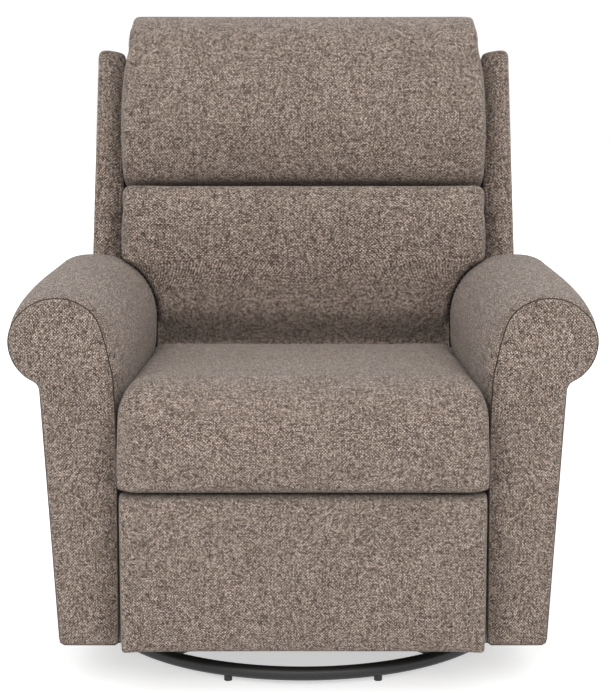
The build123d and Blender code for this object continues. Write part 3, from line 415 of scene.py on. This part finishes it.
def crossings(nodes, links, source, pitch, wander_scale=90.0, wander=0.0014):
    """Plain weave: the product of a sine across and a sine along, each with half a wave to a yarn,
    is positive where the upright yarn is on top and negative where the level one is. Noise moves
    each place by up to `wander`."""
    drift = noise(nodes, links, source, wander_scale, 1.0, "2D")
    shifted = nodes.new("ShaderNodeVectorMath")
    shifted.operation = "MULTIPLY_ADD"
    shifted.inputs[1].default_value = (wander, wander, 0.0)
    links.new(drift.outputs["Color"], shifted.inputs[0])
    links.new(source, shifted.inputs[2])
    waves = placed(nodes, links, shifted.outputs[0], (pi / pitch, pi / pitch, 1.0))
    parts = nodes.new("ShaderNodeSeparateXYZ")
    links.new(waves, parts.inputs[0])
    across = reckoned(nodes, links, "SINE", parts.outputs["X"])
    along = reckoned(nodes, links, "SINE", parts.outputs["Y"])
    return reckoned(nodes, links, "MULTIPLY", across, along)


def yarn_cells(nodes, links, source, width, height, jitter=0.45):
    """Random tone and roundness of the yarn crossings, each width by height in metres."""
    cells = nodes.new("ShaderNodeTexVoronoi")
    cells.voronoi_dimensions = "2D"
    cells.inputs["Scale"].default_value = 1.0
    cells.inputs["Randomness"].default_value = jitter
    grid = placed(nodes, links, source, (1 / width, 1 / height, 1.0))
    links.new(grid, cells.inputs["Vector"])
    split = nodes.new("ShaderNodeSeparateColor")
    links.new(cells.outputs["Color"], split.inputs["Color"])
    return split.outputs["Red"], cells.outputs["Distance"]


def slubs(nodes, links, source, width, height):
    """Slow change of tone along the yarns, stretched to width by height in metres."""
    stretched = placed(nodes, links, source, (1 / width, 1 / height, 1.0))
    return noise(nodes, links, stretched, 1.0, 1.0, "2D").outputs["Fac"]


def make_woven():
    """Heathered taupe-grey cloth of thick light and dark yarns, plain weave. The tone of a place
    is the tone of its yarn crossing plus slow streaks along the two directions of the cloth."""
    material, nodes, links, shader = new_finish("heathered_weave")
    uv = nodes.new("ShaderNodeUVMap")
    uv.uv_map = "weave"
    cloth = uv.outputs["UV"]
    fleck, grain = yarn_cells(nodes, links, cloth, width=0.00148, height=0.00164)
    crossing = crossings(nodes, links, cloth, pitch=0.0023)
    round_yarn = reckoned(nodes, links, "ABSOLUTE", crossing)
    round_yarn = reckoned(nodes, links, "POWER", round_yarn, 0.5)
    tone = weighed(nodes, links, (
        (fleck, 0.60),
        (crossing, 0.17),
        (round_yarn, 0.16),
        (slubs(nodes, links, cloth, width=0.0022, height=0.036), 0.20),
        (slubs(nodes, links, cloth, width=0.030, height=0.0024), 0.14),
    ))
    colour = ramp(nodes, links, tone, (
        (0.24, (0.036, 0.024, 0.018)),
        (0.40, (0.108, 0.080, 0.063)),
        (0.62, (0.240, 0.186, 0.150)),
        (0.80, (0.400, 0.322, 0.270)),
        (0.94, (0.780, 0.675, 0.595)),
    ))
    drift = noise(nodes, links, object_place(nodes), 9.0, 3.0)
    shade = ramp(nodes, links, drift.outputs["Fac"], (
        (0.30, (0.95, 0.95, 0.95)),
        (0.70, (1.04, 1.04, 1.04)),
    ))
    links.new(multiplied(nodes, links, colour, shade), shader.inputs["Base Color"])
    relief = weighed(nodes, links, ((grain, 0.5), (round_yarn, -0.7)))
    bumped(nodes, links, shader, relief, 0.35, 0.0008).invert = True
    shader.inputs["Roughness"].default_value = 0.94
    shader.inputs["Specular IOR Level"].default_value = 0.2
    shader.inputs["Sheen Weight"].default_value = 0.12
    shader.inputs["Sheen Roughness"].default_value = 0.6
    return material


def make_seam_cord_and_painted_shade():
    """Sewing seam: dark brown thread with short twists along it. The dark brown is painted shade of
    the groove between the arm's face and pad.
    """
    material, nodes, links, shader = new_finish("seam_cord_and_painted_shade")
    twist = noise(nodes, links, object_place(nodes), 700.0, 1.0)
    # Painted shade: these dark thread tones stand for the shadow in the seam's groove.
    colour = ramp(nodes, links, twist.outputs["Fac"], (
        (0.35, (0.030, 0.022, 0.018)),
        (0.70, (0.110, 0.084, 0.069)),
    ))
    links.new(colour, shader.inputs["Base Color"])
    shader.inputs["Roughness"].default_value = 0.95
    shader.inputs["Specular IOR Level"].default_value = 0.1
    return material


def make_metal(name, low, high, metallic, roughness, grain_scale, bump_distance):
    """Metal or plastic finish with fine grain, streaks and slight uneven gloss."""
    material, nodes, links, shader = new_finish(name)
    streaks = placed(nodes, links, object_place(nodes), grain_scale)
    grain = noise(nodes, links, streaks, 1.0, 4.0).outputs["Fac"]
    colour = ramp(nodes, links, grain, ((0.35, low), (0.65, high)))
    links.new(colour, shader.inputs["Base Color"])
    gloss = nodes.new("ShaderNodeMapRange")
    gloss.inputs["To Min"].default_value = roughness - 0.06
    gloss.inputs["To Max"].default_value = roughness + 0.10
    links.new(grain, gloss.inputs["Value"])
    links.new(gloss.outputs["Result"], shader.inputs["Roughness"])
    bumped(nodes, links, shader, grain, 0.3, bump_distance)
    shader.inputs["Metallic"].default_value = metallic
    return material


def make_wood():
    """Raw plywood and hardwood: rings stretched along the grain."""
    material, nodes, links, shader = new_finish("raw_frame_wood")
    rings = placed(nodes, links, object_place(nodes), (60.0, 60.0, 6.0))
    grain = noise(nodes, links, rings, 1.0, 6.0)
    grain.inputs["Distortion"].default_value = 0.6
    colour = ramp(nodes, links, grain.outputs["Fac"], (
        (0.30, (0.36, 0.23, 0.12)),
        (0.50, (0.52, 0.36, 0.20)),
        (0.72, (0.66, 0.49, 0.30)),
    ))
    links.new(colour, shader.inputs["Base Color"])
    bumped(nodes, links, shader, grain.outputs["Fac"], 0.25, 0.0005)
    shader.inputs["Roughness"].default_value = 0.7
    return material


def make_webbing():
    """Woven elastic: fine ribs across a dark strap with a lighter thread."""
    material, nodes, links, shader = new_finish("elastic_webbing")
    ribs = nodes.new("ShaderNodeTexWave")
    ribs.bands_direction = "Z"
    ribs.inputs["Scale"].default_value = 160.0
    ribs.inputs["Distortion"].default_value = 0.4
    links.new(object_place(nodes), ribs.inputs["Vector"])
    colour = ramp(nodes, links, ribs.outputs["Fac"], (
        (0.2, (0.012, 0.012, 0.013)),
        (0.9, (0.055, 0.053, 0.05)),
    ))
    links.new(colour, shader.inputs["Base Color"])
    bumped(nodes, links, shader, ribs.outputs["Fac"], 0.5, 0.0006)
    shader.inputs["Roughness"].default_value = 0.85
    return material


materials = {
    "upholstery": make_woven(),
    "black_steel": make_metal(
        "satin_black_coat", low=(0.012, 0.012, 0.013), high=(0.022, 0.021, 0.020), metallic=0.0,
        roughness=0.38, grain_scale=(420.0, 420.0, 420.0), bump_distance=0.0002),
    "zinc_steel": make_metal(
        "zinc_plate", low=(0.42, 0.43, 0.45), high=(0.60, 0.61, 0.62), metallic=1.0,
        roughness=0.34, grain_scale=(40.0, 300.0, 40.0), bump_distance=0.0002),
    "frame_wood": make_wood(),
    "black_plastic": make_metal(
        "moulded_black_plastic", low=(0.018, 0.018, 0.019), high=(0.030, 0.030, 0.030),
        metallic=0.0, roughness=0.50, grain_scale=(900.0, 900.0, 900.0), bump_distance=0.0003),
    "webbing": make_webbing(),
}
seam_cord_and_painted_shade = make_seam_cord_and_painted_shade()
slot_of = {row["node"]: row["material_slot"] for row in frame["record"]["subparts"]}
for node_name, node in frame["nodes"].items():
    node.data.materials.clear()
    node.data.materials.append(materials[slot_of[node_name]])

# ---------------------------------------------------------------- seat


def sideways(p, q, t):
    """Outline in depth and height, carried across the chair."""
    return t, p, q


seat_reach = 0.285
seat_rear_low = leaning_depth(seat_rear_w, 0.358)
seat_rear_top = leaning_depth(seat_rear_w, 0.460)
seat_outline = rounded([
    (-0.455, 0.3145, 0.006),
    (-0.425, 0.3145, 0.004),
    (-0.425, 0.3585, 0.003),
    (seat_rear_low, 0.3585, 0.008),
    (seat_rear_top, 0.466, 0.018),
    (-0.385, 0.482, 0.100),
    (-0.4555, 0.4725, 0.040),
], 190)
seat_spine = ((-0.415, 0.405), (0.03, 0.412))
seat_edge, side_draw, top_draw = 0.030, 0.011, 0.030
seat_places, edge_inset = both_edges(seat_reach, seat_edge, 53, steps=9)
seat_draw = side_draw + top_draw * np.clip(-inward(seat_outline, seat_spine)[:, 1], 0, 1) ** 2
seat_insets = (edge_inset / seat_edge)[:, None] * seat_draw[None]
seat_pad = pad("seat_pad", seat_outline, seat_spine, seat_places, seat_insets, sideways,
               end_puff=(0.002, 0.002))


def seat_free(points):
    """The top and the front swell; what lies on the rails and against the back doesn't."""
    x, y, z = points.T
    above = covered(z - 0.365, 0.03)
    front = covered(-0.44 - y, 0.01)
    rear = covered(leaning_depth(seat_rear_w, z) - y, 0.05)
    side = covered(seat_reach + 0.0005 - np.abs(x), 0.012)
    return np.maximum(above, front) * rear * (0.25 + 0.75 * side)


stuffed(seat_pad, 0.009, seat_free)
dress(finer(seat_pad), "seat", "upholstery", "seat_cushion", fill=0.85)

# ---------------------------------------------------------------- footrest

footrest_outline = rounded([
    (-0.4605, 0.0625, 0.010),
    (-0.4155, 0.0625, 0.004),
    (-0.4155, 0.3115, 0.004),
    (-0.4605, 0.3115, 0.013),
], 96)
footrest_places, footrest_inset = both_edges(0.2835, 0.006, 57)
footrest_spine = ((-0.437, 0.090), (-0.437, 0.286))
footrest_pad = pad("footrest_pad", footrest_outline, footrest_spine, footrest_places,
                   footrest_inset, sideways, end_puff=(0.001, 0.001))


def footrest_free(points):
    """Only the front swells; the rear lies on the board."""
    return covered(-0.430 - points[:, 1], 0.02)


stuffed(footrest_pad, 0.004, footrest_free)
dress(finer(footrest_pad), "footrest", "upholstery", "footrest_cushion", fill=0.9)

# ---------------------------------------------------------------- back cushions

lumbar_roll_x, lumbar_narrow, lumbar_wide = 0.3818, 0.2718, 0.336


def back_half_width(z):
    """Half width of the lumbar cushion: it lies against the inner side of the arm's roll, an
    upright ellipse, and is as wide as the head cushion above it."""
    height = covered(z - roll_middle[1], roll_radii[1])
    reach = lumbar_roll_x - roll_radii[0] * np.sqrt(1 - height**2)
    return np.clip(reach, lumbar_narrow, lumbar_wide)


def lumbar_place(p, q, t):
    y, z = leaning(p, q)
    return t * back_half_width(z), y, z


lumbar_outline = rounded([
    (0.068, 0.021, 0.006),
    (0.068, 0.392, 0.006),
    (0.030, 0.397, 0.040),
    (-0.052, 0.392, 0.020),
    (-0.055, 0.315, 0.200),
    (-0.038, 0.236, 0.140),
    (-0.006, 0.154, 0.080),
    (0.042, 0.110, 0.014),
    (0.050, 0.086, 0.012),
    (0.004, 0.058, 0.010),
    (0.006, 0.021, 0.010),
], 150)
lumbar_spine = ((0.018, 0.075), (0.010, 0.345))
lumbar_places, lumbar_inset = both_edges(1.0, 0.055, 61, steps=7)
lumbar_pad = pad("lumbar_pad", lumbar_outline, lumbar_spine, lumbar_places, lumbar_inset * 0.30,
                 lumbar_place)


def back_free(points):
    """The front swells; the rear lies on the webbing and the foot behind the seat."""
    y, z = points[:, 1], points[:, 2]
    w = (y - back_foot[0]) * lean_cos - (z - back_foot[1]) * lean_sin
    return covered(0.055 - w, 0.04) * covered(z - 0.47, 0.05)


stuffed(lumbar_pad, 0.007, back_free)
dress(finer(coarser(lumbar_pad)), "back", "upholstery", "lumbar_cushion", fill=0.8)


head_half_width, head_low_share, head_taper = 0.3365, 1.001, 0.030


def head_place(p, q, t):
    """Head cushion: its half width tapers a little towards the top."""
    y, z = leaning(p, q)
    share = head_low_share - head_taper * covered(z - 0.95, 0.10)
    return t * head_half_width * share, y, z


head_outline = rounded([
    (0.195, 0.640, 0.004),
    (0.180, 0.652, 0.004),
    (0.068, 0.652, 0.004),
    (0.068, 0.403, 0.006),
    (0.030, 0.398, 0.040),
    (-0.020, 0.402, 0.034),
    (-0.058, 0.490, 0.100),
    (-0.061, 0.560, 0.300),
    (-0.038, 0.698, 0.080),
    (0.045, 0.7455, 0.120),
    (0.150, 0.728, 0.110),
    (0.198, 0.668, 0.038),
], 190)
head_spine = ((0.012, 0.440), (0.030, 0.690))
head_places, head_inset = both_edges(1.0, 0.034, 61, steps=7)
head_pad = pad("head_pad", head_outline, head_spine, head_places, head_inset * 0.34, head_place)
stuffed(head_pad, 0.007, back_free)
dress(finer(coarser(head_pad)), "back", "upholstery", "head_cushion", fill=0.85)

# ---------------------------------------------------------------- arms

arm_loop = divided(np.vstack([
    ellipse_run((0.2955, 0.068), (0.006, 0.006), 270, 180, 6),
    [(0.2895, 0.405)],
    smooth_line([(0.2895, 0.405), (0.2880, 0.425), (0.2800, 0.442), (0.2725, 0.457),
                 (0.2700, 0.478), (0.2700, 0.515)], 6),
    ellipse_run(roll_middle, roll_radii, 180, 90),
    ellipse_run((0.380, 0.5575), (0.0825, 0.0720), 90, 0, power=2.9),
    ellipse_run((0.410, 0.5575), (0.0525, 0.0765), 0, -90, power=2.8),
    [(0.4075, 0.474)],
    ellipse_run((0.3785, 0.070), (0.008, 0.008), 0, -90, 6),
]), 180)
face_loop = divided(np.vstack([
    ellipse_run((0.2965, 0.069), (0.006, 0.006), 270, 180, 6),
    [(0.2895, 0.303)],
    smooth_line([(0.2895, 0.303), (0.2895, 0.400), (0.2912, 0.4577), (0.2930, 0.488),
                 (0.2970, 0.5092), (0.3015, 0.5304), (0.3075, 0.5547), (0.3135, 0.5729),
                 (0.3226, 0.5880), (0.3378, 0.6005), (0.3590, 0.6090), (0.3770, 0.6112),
                 (0.3920, 0.6100), (0.4045, 0.6065), (0.4195, 0.5985), (0.4340, 0.5860),
                 (0.4455, 0.5705), (0.4510, 0.5530), (0.4515, 0.5380), (0.4480, 0.5220),
                 (0.4400, 0.5060), (0.4260, 0.4910), (0.4095, 0.4815)], 6),
    [(0.405, 0.473)],
    ellipse_run((0.3745, 0.071), (0.008, 0.008), 0, -90, 6),
]), 180)
arm_spine = ((0.338, 0.115), (0.382, 0.548))
arm_rear_round = 0.010
swell_depth = 0.050
arm_fore = swell_depth * (1 - np.cos(np.linspace(0, pi / 2, 9)))
arm_even = np.linspace(0, 1, 50)[1:]


def swelling(distance, quick_share=0.36, quick_run=0.010, slow_share=0.64, slow_run=0.140):
    """From the seam the arm swells quickly, then slowly: the sum of two exponentials of the
    distance from it, each with its own share and length."""
    quick, slow = 1 - np.exp(-distance / quick_run), 1 - np.exp(-distance / slow_run)
    return quick_share * quick + slow_share * slow


def arm_piece(name, hand):
    """Arm pad: its section swells from the seam line at the front to the full arm, and is cut at
    the rear along the leaning back, with a rounded edge."""
    inner = inward(arm_loop, arm_spine)
    feet = spine_feet(arm_loop, arm_spine)
    seam = face_loop + (spine_feet(face_loop, arm_spine) - face_loop) * 0.03
    fore = seam[None] + (arm_loop - seam)[None] * swelling(arm_fore)[:, None, None]
    fore_y = np.broadcast_to((arm_seam_y + arm_fore)[:, None], fore.shape[:2])
    start = arm_seam_y + swell_depth
    rear_y = leaning_depth(arm_cut_w, arm_loop[:, 1])[None]
    even_y = start + (rear_y - start) * arm_even[:, None]
    last_share = covered(arm_even - 0.97, 0.03)
    inset = arm_rear_round * (1 - np.sqrt(1 - last_share**2))
    share = swelling(even_y - arm_seam_y)[..., None]
    even = seam[None] + (arm_loop - seam)[None] * share + inner[None] * inset[:, None, None]
    shares = np.array((0.15, 0.35, 0.6, 0.85))
    cap_fore = fore[0][None] + (feet - fore[0])[None] * shares[::-1, None, None]
    cap_rear = even[-1][None] + (feet - even[-1])[None] * shares[:, None, None]
    flat = np.concatenate([cap_fore, fore, even, cap_rear])
    depth = np.concatenate([np.full(cap_fore.shape[:2], arm_seam_y), fore_y, even_y,
                            leaning_depth(arm_cut_w, cap_rear[..., 1])])
    rows = np.stack([flat[..., 0] * hand, depth, flat[..., 1]], axis=-1)
    return tube(name, arm_loop, arm_spine, flat, rows, len(shares))


def face_piece(name, hand):
    """Front face of the arm: a flat back, a rounded rim and a slightly full front."""
    rise, draw = rim(0.008)
    rim_y, seat_side_x, fall_depth, fall_run = -0.4095, 0.2895, 0.011, 0.014
    places = np.concatenate([[-0.4052, -0.4075], rim_y - rise])
    insets = np.concatenate([[0.0008, 0.0], draw])

    def place(p, q, t):
        """The face falls back towards the seat side, as an exponential of the distance from it."""
        fall = fall_depth * np.exp(-np.clip(p - seat_side_x, 0, 1) / fall_run)
        return p * hand, fall * covered(t + rim_y, 0.008) - t, q
    return pad(name, face_loop, arm_spine, -places, insets, place, end_puff=(0.0, 0.006),
               cap_steps=(0.05, 0.10, 0.16, 0.24, 0.34, 0.46, 0.6, 0.75, 0.9))


def seam_piece(name, loop, place, radius=0.0011, stitch=0.004):
    """Sewn edge: a thin tube carried round a closed line. Its section turns from the line's own
    normal to the direction across the line's plane."""
    step = np.roll(loop, -1, 0) - np.roll(loop, 1, 0)
    normal = np.stack([step[:, 1], -step[:, 0]], axis=1) / np.linalg.norm(step, axis=1)[:, None]
    turn = np.linspace(0, 2 * pi, 6, endpoint=False)
    flat = loop[:, None] + radius * np.cos(turn)[None, :, None] * normal[:, None]
    depth = np.broadcast_to(radius * np.sin(turn)[None], flat.shape[:2])
    points = np.stack(place(flat[..., 0], flat[..., 1], depth), axis=-1)
    count, around = points.shape[:2]
    index = np.arange(count * around).reshape(count, around)
    ahead, beside = np.roll(index, -1, 0), np.roll(index, -1, 1)
    faces = np.stack([index, ahead, np.roll(ahead, -1, 1), beside], axis=-1).reshape(-1, 4)
    run = np.arange(count)[:, None, None] * stitch + np.zeros((1, around, 4))
    return shell_object(name, points, faces, np.stack([run, 0 * run], axis=-1))


def arm_free(points):
    """The arm swells on the roll and along the top, not below or at the seams."""
    x, y, z = points.T
    ahead = covered(y - arm_seam_y - 0.004, 0.03)
    behind = covered(leaning_depth(arm_cut_w, z) - y - 0.004, 0.03)
    return ahead * behind * np.maximum(covered(z - 0.40, 0.15), 0.1)


seam_loop = face_loop + (face_loop - spine_feet(face_loop, arm_spine)) * 0.004
seam_y = -0.4098
for side_name, hand in side_hands:
    arm = arm_piece(f"arm_pad_{side_name}", hand)
    stuffed(arm, 0.004, arm_free)
    dress(finer(arm), "chassis", "upholstery", f"arm_cover_{side_name}", fill=0.9)
    face = face_piece(f"arm_face_{side_name}", hand)
    dress(finer(face), "chassis", "upholstery", f"arm_front_panel_{side_name}", fill=0.95)
    # Seam cord: a thin welt round the arm's face. Its dark thread colour is painted shade of the
    # groove between the face and pad.
    seam = seam_piece(f"arm_seam_{side_name}", seam_loop,
                      lambda p, q, t: (p * hand, seam_y + t, q))
    dress(seam, "chassis", "upholstery")
    seam.data.materials[0] = seam_cord_and_painted_shade

# ---------------------------------------------------------------- wings and outside back

wing_outline = rounded([
    (0.3400, -0.008, 0.004),
    (0.3955, -0.008, 0.004),
    (0.3880, 0.661, 0.012),
    (0.3400, 0.661, 0.004),
], 220)
wing_outer_place, wing_rim, wing_rear = 0.0018, 0.004, 0.2028
rear_rise, rear_draw = rim(0.008)
wing_places = np.concatenate([
    [0.0030, 0.0010, wing_outer_place],
    wing_outer_place + wing_rim * (1 - np.cos(quarter[1:])),
    np.linspace(0.012, 0.192, 24),
    wing_rear - 0.008 * (1 - np.sin(quarter)),
])
wing_insets = np.concatenate([
    [0.0065, 0.0050, 0.0035],
    0.0035 - 0.0035 * np.sin(quarter[1:]),
    np.zeros(24),
    rear_draw,
])


def wing_piece(name, hand):
    """Padded side of the back, with a sewn seam just inside its front edge."""
    fall_depth, full_x, fall_run = 0.026, 0.384, 0.044

    def place(p, q, t):
        """The front falls back towards the cushions, as the square of the distance from the rim."""
        fall = fall_depth * covered(full_x - p, fall_run) ** 2 * covered(0.05 - t, 0.045)
        y, z = leaning(t + fall, q)
        return p * hand, y, z
    return pad(name, wing_outline, ((0.367, 0.030), (0.362, 0.630)), wing_places, wing_insets,
               place, end_puff=(0.004, 0.002))


def in_back_frame(hand):
    """Map of an outline in the back's side view, carried outwards on one side."""
    def place(p, q, t):
        y, z = leaning(p, q)
        return t * hand, y, z
    return place


def lug_piece(name, hand):
    """Rounded lug under the wing: a sector about the back's pivot."""
    reach = sweep_radius - 0.005
    sector = np.radians(np.linspace(-2, 30, 24))
    arc = np.stack([back_pivot_w + reach * np.cos(sector), -reach * np.sin(sector)], axis=1)
    outline = divided(np.vstack([arc, [(back_pivot_w + 0.005, 0.0)]]), 90)
    places = np.array((0.3452, 0.3460, 0.3480, 0.3555, 0.3630, 0.3650, 0.3658))
    insets = np.array((0.0030, 0.0012, 0.0, 0.0, 0.0, 0.0012, 0.0030))
    return pad(name, outline, ((0.10, -0.018), (0.16, -0.030)), places, insets,
               in_back_frame(hand))


for side_name, hand in side_hands:
    wing = wing_piece(f"wing_pad_{side_name}", hand)
    dress(finer(coarser(wing)), "back", "upholstery", f"back_wing_{side_name}", fill=0.95)
    lug = lug_piece(f"wing_lug_{side_name}", hand)
    dress(finer(lug), "back", "upholstery")

outside_outline = rounded([
    (-0.3395, -0.007, 0.006),
    (0.3395, -0.007, 0.006),
    (0.3395, 0.6495, 0.010),
    (-0.3395, 0.6495, 0.010),
], 260)
outside_places = np.concatenate([[0.1912, 0.1925], 0.1945 + rear_rise])
outside_insets = np.concatenate([[0.002, 0.0], rear_draw])


def outside_place(p, q, t):
    y, z = leaning(t, q)
    return p, y, z


outside = pad("outside_back_cover", outside_outline, ((0.0, 0.28), (0.0, 0.36)), outside_places,
              outside_insets, outside_place, end_puff=(0.0, 0.006),
              cap_steps=(0.03, 0.07, 0.13, 0.22, 0.34, 0.5, 0.65, 0.8, 0.92))
dress(finer(outside), "back", "upholstery", "outside_back_panel", fill=0.95)

# ---------------------------------------------------------------- base box


def arm_outer_x(z):
    """The arm's outer side, and the box's below it, leans straight from its foot to its neck."""
    (foot_x, foot_z), (neck_x, neck_z) = arm_foot, arm_neck
    return foot_x + (z - foot_z) * (neck_x - foot_x) / (neck_z - foot_z)


rear_low, rear_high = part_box("base_rear_panel")
rear_outline = rounded([
    (-arm_outer_x(rear_low.z), rear_low.z, 0.005),
    (arm_outer_x(rear_low.z), rear_low.z, 0.005),
    (arm_outer_x(rear_high.z), rear_high.z, 0.005),
    (-arm_outer_x(rear_high.z), rear_high.z, 0.005),
], 240)
panel_rise, panel_draw = rim(0.007)
rear_places = rear_low.y + np.concatenate([[0.0002, 0.0015], 0.0050 + panel_rise])
rear_insets = np.concatenate([[0.002, 0.0], panel_draw])
rear_cover = pad("base_rear_cover", rear_outline, ((-0.25, 0.185), (0.25, 0.185)), rear_places,
                 rear_insets, lambda p, q, t: (p, t, q), end_puff=(0.0, 0.004),
                 cap_steps=(0.05, 0.12, 0.22, 0.34, 0.5, 0.65, 0.8, 0.92))
dress(finer(rear_cover), "chassis", "upholstery", "base_rear_panel", fill=0.95)

# The base side ends in an arc about the back's pivot: from where it meets the leaning plane of
# the arm's rear to where it meets the back's rear face at full recline.
cut_u = -np.sqrt(sweep_radius**2 - (back_pivot_w - arm_cut_w) ** 2)
cut_y, cut_z = leaning(arm_cut_w, cut_u)
pivot_y, pivot_z = leaning(back_pivot_w, 0.0)
arc_start = np.arctan2(pivot_z - cut_z, cut_y - pivot_y)
arc_end = np.arccos(rear_reach / cut_radius) + full_lean
sweep = np.linspace(arc_start, arc_end, 40)
arc_y, arc_z = pivot_y + sweep_radius * np.cos(sweep), pivot_z - sweep_radius * np.sin(sweep)
side_rear_y, side_low_z = rear_low.y - 0.0005, arm_foot[1]
side_outline = divided(np.vstack([
    [(leaning_depth(arm_cut_w, side_low_z), side_low_z)],
    np.stack([arc_y, arc_z], axis=1),
    [(side_rear_y, rear_high.z), (side_rear_y, side_low_z)],
]), 170)


def side_cover(name, hand):
    """Padded side of the base box: its outer face leans as the arm's does."""
    rise, draw = rim(0.004)
    places = np.concatenate([[-0.0095, -0.0085], -0.004 + rise])
    insets = np.concatenate([[0.0015, 0.0], draw])
    return pad(name, side_outline, ((0.10, 0.110), (0.22, 0.130)), places, insets,
               lambda p, q, t: ((arm_outer_x(q) + t) * hand, p, q), end_puff=(0.0, 0.001))


def side_liner(name, hand):
    """Cloth lining behind the curved cut of the base side. It ends under the two places that the
    wing's lower edge takes: at rest, and along a line turned by the full recline about the
    pivot."""
    reach, rest_clear, turned_clear = 0.1875, 0.0105, 0.011
    turn = radians(recline_degrees)
    run = np.array((0.0015, reach))
    edge = np.stack([back_pivot_w + run * np.cos(turn) - turned_clear * np.sin(turn),
                     -run * np.sin(turn) - turned_clear * np.cos(turn)], axis=1)
    first = np.arctan2(edge[1, 1], edge[1, 0] - back_pivot_w)
    last = -pi / 2 - np.arcsin((back_pivot_w + 0.001) / reach)
    angle = np.linspace(first, last, 40)
    arc = np.stack([back_pivot_w + reach * np.cos(angle), reach * np.sin(angle)], axis=1)
    front = [(-0.001, -rest_clear), (edge[0, 0], -rest_clear)]
    outline = divided(np.vstack([front, edge[1:], arc[1:]]), 120)
    places = np.array((0.3668, 0.3672, 0.3690, 0.3704, 0.3708))
    insets = np.array((0.0012, 0.0, 0.0, 0.0, 0.0012))
    return pad(name, outline, ((0.025, -0.070), (0.075, -0.095)), places, insets,
               in_back_frame(hand))


for side_name, hand in side_hands:
    cover = side_cover(f"base_side_cover_{side_name}", hand)
    dress(finer(cover), "chassis", "upholstery", f"base_side_panel_{side_name}", fill=0.95)
    dress(side_liner(f"base_side_liner_{side_name}", hand), "chassis", "upholstery")

# ---------------------------------------------------------------- floor, light and camera

floor_edge, floor_tone, floor_glow, sky_strength = 30.0, 0.75, 0.56, 0.89


def floor_piece():
    """Plain white floor: a wide square that meets a white world. It glows a little to the camera
    and in reflections, so that it looks as white as the world and still keeps the shadow."""
    mesh = bpy.data.meshes.new("floor")
    corners = [(-floor_edge, -floor_edge, 0), (floor_edge, -floor_edge, 0),
               (floor_edge, floor_edge, 0), (-floor_edge, floor_edge, 0)]
    mesh.from_pydata(corners, [], [(0, 1, 2, 3)])
    floor = bpy.data.objects.new("floor", mesh)
    bpy.context.scene.collection.objects.link(floor)
    material, nodes, links, shader = new_finish("white_floor")
    shader.inputs["Base Color"].default_value = (floor_tone, floor_tone, floor_tone, 1.0)
    shader.inputs["Roughness"].default_value = 0.9
    glow = nodes.new("ShaderNodeEmission")
    ray = nodes.new("ShaderNodeLightPath")
    seen = weighed(nodes, links, ((ray.outputs["Is Camera Ray"], floor_glow),
                                  (ray.outputs["Is Glossy Ray"], floor_glow)))
    links.new(seen, glow.inputs["Strength"])
    both = nodes.new("ShaderNodeAddShader")
    links.new(shader.outputs["BSDF"], both.inputs[0])
    links.new(glow.outputs["Emission"], both.inputs[1])
    links.new(both.outputs["Shader"], nodes["Material Output"].inputs["Surface"])
    mesh.materials.append(material)


floor_piece()

world = bpy.data.worlds.new("studio")
world.use_nodes = True
bpy.context.scene.world = world
world_nodes, world_links = world.node_tree.nodes, world.node_tree.links
sky = world_nodes["Background"]
sky.inputs["Color"].default_value = (1.0, 1.0, 1.0, 1.0)
sky.inputs["Strength"].default_value = sky_strength
white = world_nodes.new("ShaderNodeBackground")
white.inputs["Color"].default_value = (1.0, 1.0, 1.0, 1.0)
white.inputs["Strength"].default_value = 1.0
path = world_nodes.new("ShaderNodeLightPath")
pick_white = world_nodes.new("ShaderNodeMixShader")
bare = weighed(world_nodes, world_links, ((path.outputs["Is Camera Ray"], 1.0),
                                          (path.outputs["Is Glossy Ray"], 1.0)))
world_links.new(bare, pick_white.inputs[0])
world_links.new(sky.outputs[0], pick_white.inputs[1])
world_links.new(white.outputs[0], pick_white.inputs[2])
world_links.new(pick_white.outputs[0], world_nodes["World Output"].inputs["Surface"])


def lamp(name, place, target, size, power):
    """Wide soft lamp that faces its target."""
    light = bpy.data.lights.new(name, "AREA")
    light.shape = "RECTANGLE"
    light.size, light.size_y = size
    light.energy = power
    holder = bpy.data.objects.new(name, light)
    bpy.context.scene.collection.objects.link(holder)
    holder.location = place
    holder.rotation_euler = (Vector(target) - Vector(place)).to_track_quat("-Z", "Y").to_euler()


lamp("overhead_lamp", (0.0, -2.2, 5.4), (0.0, -0.1, 0.5), (5.0, 3.0), 14.0)
lamp("front_lamp", (0.0, -4.6, 3.0), (0.0, -0.3, 0.3), (7.0, 2.2), 86.0)

camera_tilt = 8.555    # degrees down from level
camera_data = bpy.data.cameras.new("photo_camera")
camera_data.lens = 86.0
camera_data.sensor_width = 36.0
camera = bpy.data.objects.new("photo_camera", camera_data)
bpy.context.scene.collection.objects.link(camera)
camera.location = (0.0038, -2.918, 0.915)
camera.rotation_euler = (radians(90 - camera_tilt), 0.0, 0.0)
bpy.context.scene.camera = camera
bpy.context.scene.view_settings.view_transform = "Standard"
